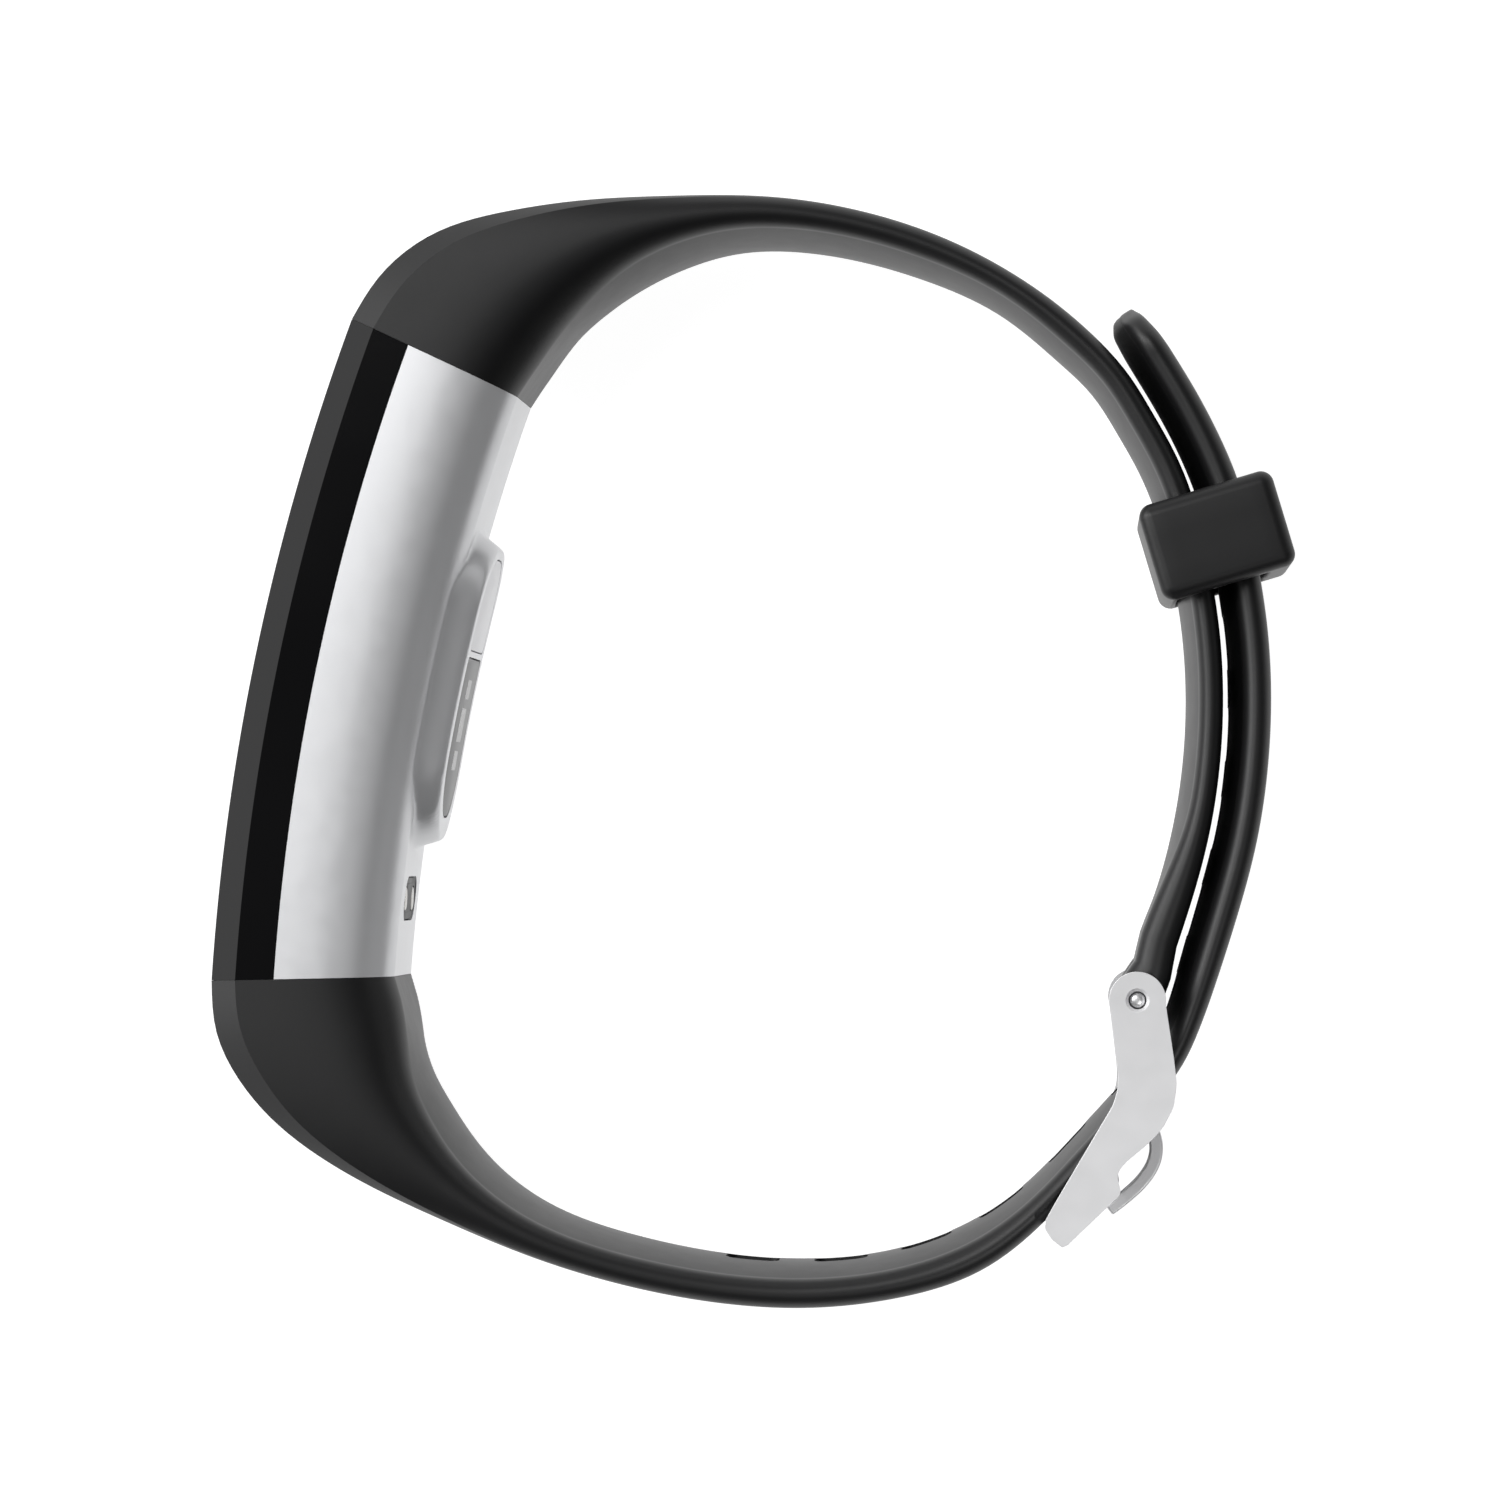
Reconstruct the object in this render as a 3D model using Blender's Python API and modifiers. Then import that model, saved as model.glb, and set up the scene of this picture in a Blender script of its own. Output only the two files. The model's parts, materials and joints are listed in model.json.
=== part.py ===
"""Fitness tracker band, closed on its buckle and lying on its side, loop axis along +Z."""
import math

import bmesh
import bpy
import numpy as np
from mathutils import Matrix, Vector

# ---------------------------------------------------------------- driving dimensions, mm and degrees
WIDTH = 20.0                 # pod, keeper and buckle, measured along the loop axis
MID = WIDTH / 2
CENTRING = (0.175, -0.134)   # brings the middle of the whole band over the origin

POD_CENTRE = (115.8, -24.4)  # centre of the arc the front glass is bent to
POD_RADIUS = 151.3
POD_MIDDLE = 168.0           # direction of the pod's middle seen from that centre
POD_HALF = 21.95             # half the pod's length along the front
POD_LEAN = 4.8               # how far each end face leans towards the pod's middle
POD_DEEP = 11.7              # front glass to rear face
COVER_WALL = 1.25
CASE_TOP = 4.16              # the rear case starts here, 0.06 below the cover
# side outline of pod and strap roots from front to rear: (depth, half width)
POD_SIDE = [(0.0, 8.75), (1.65, 10.0), (4.1, 10.0), (6.6, 9.95), (8.4, 9.75), (9.6, 9.35),
            (10.6, 8.6), (11.3, 7.7), (11.7, 6.6)]
# flat features of the rear face: along the pod from, to, half width, corner radius low end, high end
BUMP = (-11.9, 11.2, 7.0, 6.2, 5.0)
BUMP_TOP = 13.3
PLATE = (2.95, 10.1, 5.2, 0.5, 4.0)
WINDOW = (-9.85, 2.35, 5.2, 4.6, 0.5)
WINDOW_LIGHT = (-9.05, 1.55, 4.4, 3.8, 0.5)
SEAT = (-17.8, -14.6, 4.2, 1.55, 1.55)
CONTACT_AT = (-16.2, 2.6)    # along the pod, and to each side
SEAL_ROOM = (-21.35, 21.35, 9.45, 0.8, 0.8)

LOOP = (-12.5, 3.5)          # centre both strap layers are bent round at the buckle side
INNER_LAYER = (40.4, 42.75)  # radii of the upper strap
OUTER_LAYER = (43.15, 45.85)  # radii of the tail lying over it
STRAP_HALF = 8.0
STRAP_EDGE = 1.15            # how far the rounded strap edge reaches in
STRAP_CROWN = 0.33           # share of the thickness the inner face falls away towards its edges
SLOT = (3.5, 4.4, 0.65)      # adjustment slot: along and across the strap, corner radius
SLOT_PITCH = 6.05
SLOTS_EACH_WAY = 5

KEEPER_AT = 13.9
KEEPER_SKEW = 2.8            # how far it sits askew on the strap
KEEPER_LONG = 6.4
KEEPER_ROOM = (40.0, 46.12, 8.2)    # inner and outer radius, half width
KEEPER_WALL = (0.88, 1.98)   # towards the wrist, outwards

BAR_AT = (41.95, -27.6)      # buckle bar: radius and direction from LOOP
BAR_R = 0.9
TIP_R = 0.5
ARM_THICK = 1.6
ARM_END_R = 1.83
PRONG = (0.9, 1.6)           # thickness and width
PRONG_IN = 0.4               # how far its wrist side lies inside PRONG_LINE
PLAY = 0.07                  # clearance of turning fits, on the radius

LUG = (7.3, 11.9, 4.0)       # along the pod, across, deep
LUG_DEPTH = 7.2
LUG_BAR_IN = 2.25            # bar's distance inside the pod's end face
MOTOR_AT = (-10.6, 7.6)      # place along the pod, depth

MM = 0.001
EYE = (LOOP[0] + BAR_AT[0] * math.cos(math.radians(BAR_AT[1])),
       LOOP[1] + BAR_AT[0] * math.sin(math.radians(BAR_AT[1])))

# colour, roughness, metallic
LOOKS = {
    "black glass": ((0.010, 0.010, 0.012), 0.12, 0.0),
    "dark window": ((0.10, 0.10, 0.11), 0.18, 0.0),
    "satin silver": ((0.60, 0.61, 0.62), 0.32, 1.0),
    "polished steel": ((0.70, 0.70, 0.71), 0.18, 1.0),
    "spring steel": ((0.45, 0.45, 0.46), 0.30, 1.0),
    "nickel": ((0.50, 0.49, 0.47), 0.30, 1.0),
    "tungsten": ((0.30, 0.30, 0.31), 0.40, 1.0),
    "foil": ((0.55, 0.56, 0.58), 0.38, 1.0),
    "silicone": ((0.016, 0.016, 0.018), 0.55, 0.0),
    "seal rubber": ((0.03, 0.03, 0.03), 0.60, 0.0),
    "black plastic": ((0.03, 0.03, 0.03), 0.45, 0.0),
    "grey plastic": ((0.35, 0.35, 0.36), 0.50, 0.0),
    "board green": ((0.02, 0.13, 0.06), 0.45, 0.0),
    "amber film": ((0.42, 0.20, 0.03), 0.40, 0.0),
    "clear lamp": ((0.80, 0.86, 0.70), 0.10, 0.0),
}
GROUPS = {}
PLACES = {}


# ---------------------------------------------------------------- frames of reference
def pod(s, t, z):
    """A point of the bent pod: s along the front, t deep, z across (0 is the middle)."""
    a = math.radians(POD_MIDDLE) - s / POD_RADIUS
    d = a + math.pi - math.radians(POD_LEAN) * s / POD_HALF
    return (POD_CENTRE[0] + POD_RADIUS * math.cos(a) + t * math.cos(d),
            POD_CENTRE[1] + POD_RADIUS * math.sin(a) + t * math.sin(d), MID + z)


def polar(r, degrees, z=0.0):
    """A point at radius r from the loop centre of the two strap layers."""
    a = math.radians(degrees)
    return (LOOP[0] + r * math.cos(a), LOOP[1] + r * math.sin(a), MID + z)


def facing(x_axis, z_axis):
    """Rotation whose local X and Z axes point the two given ways."""
    z = Vector(z_axis).normalized()
    y = z.cross(Vector(x_axis)).normalized()
    return Matrix((y.cross(z), y, z)).transposed().to_euler()


def pod_facing(s, sign=1):
    """Rotation of a piece in the pod at s: X along the pod (away from the middle), Z deeper."""
    ahead = Vector(pod(s + 0.01, LUG_DEPTH, 0)) - Vector(pod(s - 0.01, LUG_DEPTH, 0))
    deeper = Vector(pod(s, LUG_DEPTH, 0)) - Vector(pod(s, 0, 0))
    return facing(ahead * sign, deeper)


def place(name, at, turn=(0, 0, 0)):
    """An empty that pieces are placed under, in millimetres."""
    empty = bpy.data.objects.new(name, None)
    empty.empty_display_size = 4 * MM
    empty.location = Vector(at) * MM
    empty.rotation_euler = turn
    if PLACES:
        empty.parent = PLACES["band"]
    GROUPS["parts"].objects.link(empty)
    PLACES[name] = empty


# ---------------------------------------------------------------- objects from Blender's tools
def material(name, look):
    colour, roughness, metallic = LOOKS[look]
    mat = bpy.data.materials.new(name)
    mat.use_nodes = True
    shader = mat.node_tree.nodes["Principled BSDF"]
    shader.inputs["Base Color"].default_value = (*colour, 1.0)
    shader.inputs["Roughness"].default_value = roughness
    shader.inputs["Metallic"].default_value = metallic
    return mat


def add(name, data, look, at, parent, turn=(0, 0, 0)):
    """Link one object under its parent; a piece has a look, a cutter has none."""
    obj = bpy.data.objects.new(name, data)
    obj.parent = PLACES[parent]
    obj.location = Vector(at) * MM
    obj.rotation_euler = turn
    if look:
        GROUPS["parts"].objects.link(obj)
        data.materials.append(material(name, look))
    else:
        GROUPS["cutters"].objects.link(obj)
        obj.hide_render = True
        obj.display_type = "WIRE"
    return obj


def to_mesh(name, bm):
    mesh = bpy.data.meshes.new(name)
    bmesh.ops.recalc_face_normals(bm, faces=bm.faces)
    bm.to_mesh(mesh)
    bm.free()
    mesh.shade_smooth()
    mesh.set_sharp_from_angle(angle=math.radians(35))
    return mesh


def block(name, size, at, look=None, parent="pod_middle", turn=(0, 0, 0), corner=0.0, edge=0.0):
    """Box; corner rounds the edges along its local Z, edge softens all the others."""
    bm = bmesh.new()
    bmesh.ops.create_cube(bm, size=1.0)
    bmesh.ops.scale(bm, vec=Vector(size) * MM, verts=bm.verts)
    if corner:
        upright = [e for e in bm.edges if abs(e.verts[0].co.z - e.verts[1].co.z) > size[2] * MM / 2]
        bmesh.ops.bevel(bm, geom=upright, offset=corner * MM, segments=4, profile=0.5, affect="EDGES")
    obj = add(name, to_mesh(name, bm), look, at, parent, turn)
    if edge:
        soften(obj, edge)
    return obj


def cylinder(name, radius, length, at, look=None, parent="band", turn=(0, 0, 0), sides=24):
    bm = bmesh.new()
    bmesh.ops.create_cone(bm, cap_ends=True, segments=sides, radius1=radius * MM, radius2=radius * MM,
                          depth=length * MM)
    return add(name, to_mesh(name, bm), look, at, parent, turn)


def turned(name, profile, look, at, parent="band", turn=(0, 0, 0), sides=24):
    """Turned about local Z: (radius, height) down the outer side; a bore closes the profile."""
    links = [(i, i + 1) for i in range(len(profile) - 1)]
    if profile[0][0] > 0:
        links.append((len(profile) - 1, 0))
    mesh = bpy.data.meshes.new(name)
    mesh.from_pydata([(r * MM, 0, h * MM) for r, h in profile], links, [])
    obj = add(name, mesh, look, at, parent, turn)
    screw = obj.modifiers.new("turn", "SCREW")
    screw.axis = "Z"
    screw.steps = sides
    screw.render_steps = sides
    screw.use_merge_vertices = True
    screw.merge_threshold = 1e-6
    return obj


def plate(name, outline, thick, look, at, parent="band", cut_later=False):
    """Flat outline in local XY with its middle plane at local Z zero."""
    curve = bpy.data.curves.new(name, "CURVE")
    curve.dimensions = "2D"
    curve.fill_mode = "BOTH"
    curve.extrude = thick / 2 * MM
    spline = curve.splines.new("POLY")
    spline.points.add(len(outline) - 1)
    spline.use_cyclic_u = True
    for point, (x, y) in zip(spline.points, outline):
        point.co = (x * MM, y * MM, 0, 1)
    if not cut_later:
        return add(name, curve, look, at, parent)
    source = bpy.data.objects.new(name + "_outline", curve)
    GROUPS["cutters"].objects.link(source)
    mesh = bpy.data.meshes.new_from_object(source.evaluated_get(bpy.context.evaluated_depsgraph_get()))
    bpy.data.objects.remove(source)
    bm = bmesh.new()
    bm.from_mesh(mesh)
    bmesh.ops.remove_doubles(bm, verts=bm.verts, dist=1e-6)
    return add(name, to_mesh(name, bm), look, at, parent)


def soften(obj, width, segments=2):
    mod = obj.modifiers.new("soften", "BEVEL")
    mod.width = width * MM
    mod.segments = segments
    mod.limit_method = "ANGLE"
    mod.angle_limit = math.radians(40)


def cut(obj, tool, kind="DIFFERENCE"):
    mod = obj.modifiers.new(kind.lower(), "BOOLEAN")
    mod.operation = kind
    mod.solver = "EXACT"
    mod.object = tool


# ---------------------------------------------------------------- lofts for the bent pieces
def skin(name, rings, look=None, ladder=False):
    """Closed body through equal rings of points; ladder ends follow a ring that is not flat."""
    bm = bmesh.new()
    rows = [[bm.verts.new(Vector(p) * MM) for p in ring] for ring in rings]
    n = len(rings[0])
    for a, b in zip(rows, rows[1:]):
        for k in range(n):
            bm.faces.new((a[k], a[(k + 1) % n], b[(k + 1) % n], b[k]))
    for row in (rows[0], rows[-1]):
        if ladder:
            for k in range(n // 2 - 1):
                bm.faces.new((row[k], row[k + 1], row[n - 2 - k], row[n - 1 - k]))
        else:
            bm.faces.new(row)
    return add(name, to_mesh(name, bm), look, (0, 0, 0), "band")


def rounded(shape, grow=0.0, corner=5, steps=1):
    """Rounded outline in (s, z), grown outwards, its two long sides point for point."""
    low, high, half, r_low, r_high = shape
    arc = [math.pi / 2 * k / corner for k in range(corner + 1)]
    side = [(low + r_low - (r_low + grow) * math.cos(a), half - r_low + (r_low + grow) * math.sin(a))
            for a in arc]
    run = high - r_high - low - r_low
    side += [(low + r_low + run * k / steps, half + grow) for k in range(1, steps)]
    side += [(high - r_high + (r_high + grow) * math.cos(a),
              half - r_high + (r_high + grow) * math.sin(a)) for a in reversed(arc)]
    return side + [(s, -z) for s, z in reversed(side)]


def stack(name, shape, levels, look=None):
    """Body that follows the pod's bend: a rounded outline at each (depth, grow)."""
    steps = max(1, round((shape[1] - shape[0]) / 4.5))
    rings = [[pod(s, t, z) for s, z in rounded(shape, grow, 3, steps)] for t, grow in levels]
    return skin(name, rings, look, ladder=True)


def curve_through(rows, count):
    """Smooth rows of numbers: natural cubic spline by distance between the first two points."""
    rows = np.array(rows, float)
    mids = (rows[:, 0:2] + rows[:, 2:4]) / 2
    u = np.r_[0, np.cumsum(np.hypot(*np.diff(mids, axis=0).T))]
    h, n = np.diff(u), len(rows)
    a = np.zeros((n, n))
    a[0, 0] = a[-1, -1] = 1
    for i in range(1, n - 1):
        a[i, i - 1:i + 2] = h[i - 1], 2 * (h[i - 1] + h[i]), h[i]
    rhs = np.zeros_like(rows)
    rhs[1:-1] = 6 * ((rows[2:] - rows[1:-1]) / h[1:, None] - (rows[1:-1] - rows[:-2]) / h[:-1, None])
    m = np.linalg.solve(a, rhs)
    out = []
    for w in np.linspace(0, u[-1], count):
        i = min(np.searchsorted(u, w, side="right") - 1, n - 2)
        p, q = u[i + 1] - w, w - u[i]
        out.append((m[i] * p ** 3 + m[i + 1] * q ** 3) / (6 * h[i])
                   + (rows[i] / h[i] - m[i] * h[i] / 6) * p
                   + (rows[i + 1] / h[i] - m[i + 1] * h[i] / 6) * q)
    return out


# ---------------------------------------------------------------- strap sections and routes
def strap_ring(x0, y0, x1, y1, half, thin, crown=STRAP_CROWN):
    """Section from the outer point to the crowned inner one; thin runs from pod outline to slim strap."""
    half, thin = min(half, MID), min(max(thin, 0.0), 1.0)
    edge = min(STRAP_EDGE, half * 0.8)
    side = []
    for k, (t, w) in enumerate(POD_SIDE):
        a = math.pi * k / (len(POD_SIDE) - 1)
        slim = ((0.5 - 0.5 * math.cos(a)) * (1 - crown), half - edge + edge * math.sin(a))
        stout = (t / POD_DEEP, w * half / MID)
        side.append((stout[0] * (1 - thin) + slim[0] * thin, stout[1] * (1 - thin) + slim[1] * thin))
    u, w = side[-1]
    side.append((1 - (1 - u) / 4, w / 2))
    ring = side + [(1, 0)] + [(u, -w) for u, w in reversed(side)]
    return [(x0 + (x1 - x0) * u, y0 + (y1 - y0) * u, MID + w) for u, w in ring]


def layer(degrees, radii, half=STRAP_HALF, thin=1.0):
    """One strap station on the shared arc."""
    outer, inner = polar(radii[1], degrees), polar(radii[0], degrees)
    return (*outer[:2], *inner[:2], half, thin)


def root(sign):
    """First strap station, 0.06 mm clear of the pod's end face."""
    s = sign * (POD_HALF + 0.06)
    return (*pod(s, 0, 0)[:2], *pod(s, POD_DEEP, 0)[:2], MID, 0.0)


def upper_route():
    """Stations of the upper strap: outer point, inner point, half width, thinness."""
    rows = [root(1), (-24.3, 30.9, -14.17, 25.13, 10.0, 0.0), (-20.9, 33.6, -12.3, 27.25, 9.97, 0.08),
            (-16.3, 35.05, -9.77, 29.3, 9.85, 0.25), (-11.3, 35.8, -7.1, 30.97, 9.6, 0.5),
            (-6.0, 36.1, -3.96, 32.34, 9.2, 0.75), (-0.5, 36.15, -0.39, 33.1, 8.75, 0.93),
            (5.5, 35.45, 4.87, 32.77, 8.35, 1.0), (11.6, 33.65, 10.56, 31.26, 8.1, 1.0),
            (17.2, 30.75, 15.95, 28.73, 8.0, 1.0), (21.3, 27.6, 19.6, 25.75, 8.0, 1.0)]
    rows += [layer(30, (39.78, 42.24)), layer(26, (40.0, 42.46)), layer(22, (40.25, 42.72)),
             layer(18, (40.38, 42.84))]
    rows += [layer(a, INNER_LAYER) for a in range(12, -19, -6)]
    rows += [layer(-22, (40.4, 42.85))]
    return rows


def lower_route():
    """Stations of the lower strap, from the pod through the buckle to the tail."""
    rows = [root(-1), (-34.9, -17.9, -23.07, -15.89, 10.0, 0.0), (-33.2, -21.4, -22.54, -17.75, 9.99, 0.05),
            (-30.2, -24.6, -21.74, -20.32, 9.93, 0.2), (-26.0, -27.4, -20.4, -22.83, 9.75, 0.42),
            (-20.9, -29.9, -18.1, -26.1, 9.4, 0.68), (-15.0, -32.4, -13.8, -29.5, 8.95, 0.9),
            (-9.2, -34.25, -8.25, -31.51, 8.5, 1.0), (-3.0, -35.5, -2.46, -32.68, 8.15, 1.0),
            (3.2, -35.9, 3.09, -33.04, 8.0, 1.0), (9.4, -35.2, 8.63, -32.45, 8.0, 1.0),
            (14.85, -33.3, 13.51, -30.72, 8.0, 1.0), (18.85, -30.1, 17.2, -28.26, 8.0, 1.0),
            (22.0, -26.6, 20.35, -25.12, 8.0, 1.0), (24.8, -23.5, 23.07, -22.16, 8.0, 1.0)]
    rows += [layer(-31, (44.15, 46.55)), layer(-27.5, (43.95, 46.4)), layer(-23, (43.45, 46.05))]
    rows += [layer(a, OUTER_LAYER) for a in range(-18, 15, 6)]
    rows += [layer(18, (43.23, 45.95)), layer(22, (43.12, 45.8)), layer(26, (42.95, 45.6)),
             layer(30, (42.8, 45.42))]
    return rows


def eye_end(route_rings):
    """Round the upper strap's end about the buckle bar: (distance along, half thickness)."""
    radial = Vector(polar(1, BAR_AT[1])) - Vector(polar(0, BAR_AT[1]))
    along_strap = Vector((radial.y, -radial.x, 0))
    for d, h in ((-2.2, 1.3), (-1.3, 1.42), (-0.5, 1.49), (0.2, 1.49), (0.75, 1.31), (1.15, 0.98),
                 (1.4, 0.55), (1.48, 0.2)):
        c = Vector((*EYE, 0)) + along_strap * d
        outer, inner = c + radial * h, c - radial * h
        route_rings.append(strap_ring(outer.x, outer.y, inner.x, inner.y, STRAP_HALF, 1.0, crown=0.0))


def tail_end(route_rings):
    """Round the tail's tip: (direction, inner radius, outer radius, half width)."""
    for a, r0, r1, half in ((31.6, 42.8, 45.32, 7.9), (33.0, 42.87, 45.15, 7.3), (33.9, 43.02, 45.0, 6.3),
                            (34.45, 43.28, 44.87, 5.0), (34.7, 43.5, 44.76, 3.6), (34.8, 43.7, 44.6, 2.0)):
        route_rings.append(strap_ring(*layer(a, (r0, r1), half)))


def upper_strap():
    rings = [strap_ring(*row, crown=STRAP_CROWN * min(1, (33 - k) / 4))
             for k, row in enumerate(curve_through(upper_route(), 34))]
    eye_end(rings)
    obj = skin("upper_strap", rings, "silicone")
    cut(obj, cylinder("upper_eye_cut", BAR_R + PLAY, WIDTH + 2, (*EYE, MID), sides=20))
    turn = (0, 0, math.radians(BAR_AT[1] - 90))
    cut(obj, block("upper_notch_cut", (6.1, 6.0, 2.2), (0.95, 0, 0), parent="buckle_bar", turn=turn))
    cut(obj, block("upper_lug_cut", (4.4, LUG[1] + 0.3, LUG[2] + 0.2), (1.2, 0, 0), parent="upper_root"))


def slot_places():
    """Middle and direction of each adjustment slot; the prong stands in the sixth."""
    fine = np.array(curve_through(lower_route(), 800))
    mids = (fine[:, 0:2] + fine[:, 2:4]) / 2
    run = np.r_[0, np.cumsum(np.hypot(*np.diff(mids, axis=0).T))]
    used = run[np.argmin(np.hypot(*(mids - PRONG_CROSSING).T))]
    for k in range(-SLOTS_EACH_WAY, SLOTS_EACH_WAY + 1):
        i = int(np.searchsorted(run, used + SLOT_PITCH * k))
        yield mids[i], mids[i + 3] - mids[i - 3]


def lower_strap():
    rings = [strap_ring(*row) for row in curve_through(lower_route(), 50)]
    tail_end(rings)
    obj = skin("lower_strap", rings, "silicone")
    for k, (middle, ahead) in enumerate(slot_places()):
        turn = facing((*ahead, 0), (-ahead[1], ahead[0], 0))
        cut(obj, block("slot_cut_%02d" % k, (SLOT[0], SLOT[1], 4.4), (*middle, MID), parent="band",
                       turn=turn, corner=SLOT[2]))
    cut(obj, block("lower_lug_cut", (4.4, LUG[1] + 0.3, LUG[2] + 0.2), (1.2, 0, 0), parent="lower_root"))


def lugs():
    """Hard lugs moulded into the strap roots, and the bars that hold them in the case."""
    upright = (math.pi / 2, 0, 0)
    for end in ("upper", "lower"):
        root_place = end + "_root"
        obj = block(end + "_lug", LUG, (-0.35, 0, 0), "grey plastic", root_place, corner=0.5, edge=0.25)
        cut(obj, cylinder(end + "_lug_eye_cut", 0.82, WIDTH, (-LUG_BAR_IN, 0, 0), parent=root_place,
                          turn=upright, sides=14))
        half = [(0, 7.0), (0.4, 7.0), (0.4, 5.7), (0.75, 5.65)]
        turned(end + "_lug_bar", half + [(r, -h) for r, h in reversed(half)], "spring steel",
               (-LUG_BAR_IN, 0, 0), root_place, upright, sides=14)


# ---------------------------------------------------------------- keeper and buckle
def keeper():
    """Loop that slides round the two strap layers; its parent empty turns about the loop centre."""
    r0, r1, half = KEEPER_ROOM
    low, high = r0 - KEEPER_WALL[0], r1 + KEEPER_WALL[1]
    skew = math.radians(KEEPER_SKEW)
    obj = block("keeper", (high - low, KEEPER_LONG, WIDTH), ((low + high) / 2, 0, 0), "silicone",
                "keeper_turn", (0, 0, skew))
    soften(obj, 0.85, 4)
    cut(obj, block("keeper_room_cut", (2 * half, 2 * KEEPER_LONG, r1 - r0), ((r0 + r1) / 2, 0, 0),
                   parent="keeper_turn", turn=facing((0, 0, 1), (math.cos(skew), math.sin(skew), 0))))


def frame_outline():
    """Side plate of the buckle, round at the bar and stepped before the crossbar."""
    top = [(EYE[0] + ARM_END_R * math.cos(a), EYE[1] + ARM_END_R * math.sin(a))
           for a in [math.radians(-8 + 18 * k) for k in range(12)]]
    rest = [(22.93, -16.6), (23.2, -18.8), (23.42, -20.7), (23.4, -21.7), (23.1, -22.7), (20.87, -26.45),
            (19.3, -29.1), (18.75, -30.1), (18.7, -30.6), (19.15, -31.3), (19.8, -31.82),
            (20.15, -31.7), (22.0, -29.92), (23.5, -28.5), (23.6, -28.15), (23.4, -27.6),
            (23.4, -27.0), (23.85, -26.4), (25.3, -25.2), (26.3, -24.15), (27.0, -22.8),
            (27.2, -21.3), (27.0, -19.6)]
    return top + rest


def about_eye(points):
    """The same points measured from the buckle bar."""
    return [(x - EYE[0], y - EYE[1]) for x, y in points]


def buckle_frame():
    obj = plate("buckle_frame", about_eye(frame_outline()), WIDTH, "polished steel", (0, 0, 0),
                "buckle_bar", cut_later=True)
    soften(obj, 0.2)
    inside = [(17.75, -31.85), (22.15, -27.1), (24.4, -29.15), (31.0, -29.0), (31.0, -12.0),
              (15.0, -12.0), (15.0, -31.0)]
    cut(obj, plate("buckle_room_cut", about_eye(inside), WIDTH - 2 * ARM_THICK, None, (0, 0, 0),
                   "buckle_bar", cut_later=True))
    cut(obj, cylinder("buckle_eye_cut", TIP_R + 0.08, WIDTH + 2, (0, 0, 0), parent="buckle_bar",
                      sides=20))


PRONG_LINE = [(24.62, -17.1), (24.45, -18.9), (24.4, -20.4), (24.62, -21.9), (25.1, -23.3),
              (25.62, -24.5), (25.9, -25.5), (25.8, -26.5), (25.25, -27.55), (24.2, -28.65),
              (22.8, -29.75)]
PRONG_CROSSING = (24.98, -21.58)   # middle of the strap slot the prong stands in


def buckle_prong():
    line = np.array(curve_through([(x, y, x, y) for x, y in PRONG_LINE], 15))[:, :2]
    way = np.gradient(line, axis=0)
    way /= np.hypot(*way.T)[:, None]
    side = np.c_[-way[:, 1], way[:, 0]]
    outline = [tuple(p) for p in line + side * (PRONG[0] - PRONG_IN)]
    outline += [tuple(p) for p in (line - side * PRONG_IN)[::-1]]
    obj = plate("buckle_prong", about_eye(outline), PRONG[1], "polished steel", (0, 0, 0),
                "buckle_bar", cut_later=True)
    soften(obj, 0.14)
    r, h = BAR_R + 0.62, PRONG[1] / 2
    ring = turned("prong_ring_join", [(0, h), (r - 0.12, h), (r, h - 0.12), (r, 0.12 - h),
                                      (r - 0.12, -h), (0, -h)], None, (0, 0, 0), "buckle_bar")
    cut(obj, ring, "UNION")
    cut(obj, cylinder("prong_eye_cut", BAR_R + PLAY, WIDTH, (0, 0, 0), parent="buckle_bar"))


def spring_bar():
    """Tube drawn in at both mouths, a tip in each end, and the coil that pushes them out."""
    mouth = [(BAR_R - 0.08, MID - 1.75), (BAR_R, MID - 1.85)]
    bore = [(0.58, MID - 1.75), (0.58, MID - 2.15), (0.68, MID - 2.25)]
    outside = mouth + [(r, -h) for r, h in reversed(mouth)]
    inside = bore + [(r, -h) for r, h in reversed(bore)]
    turned("bar_tube", outside + inside[::-1], "spring steel", (0, 0, 0), "buckle_bar", sides=16)
    tip = [(0, -0.28), (TIP_R - 0.15, -0.28), (TIP_R, -0.42), (TIP_R, -2.33), (0.62, -2.34),
           (0.62, -4.0), (0, -4.0)]
    turned("bar_tip_near", tip, "spring steel", (0, 0, MID), "buckle_bar", sides=16)
    turned("bar_tip_far", [(r, -h) for r, h in reversed(tip)], "spring steel", (0, 0, -MID),
           "buckle_bar", sides=16)
    coil("bar_spring", 0.45, 0.11, 7, MID - 5.65)


def coil(name, radius, wire, turns, half):
    """Helix wound evenly, drawn at the length it has with both tips pushed in."""
    curve = bpy.data.curves.new(name, "CURVE")
    curve.dimensions = "3D"
    curve.bevel_depth = wire * MM
    curve.bevel_resolution = 2
    curve.use_fill_caps = True
    spline = curve.splines.new("POLY")
    count = turns * 8 + 1
    spline.points.add(count - 1)
    for i, point in enumerate(spline.points):
        a = 2 * math.pi * i / 8
        height = -half + 2 * half * i / (count - 1)
        point.co = (radius * math.cos(a) * MM, radius * math.sin(a) * MM, height * MM, 1)
    return add(name, curve, "spring steel", (0, 0, 0), "buckle_bar")


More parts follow.
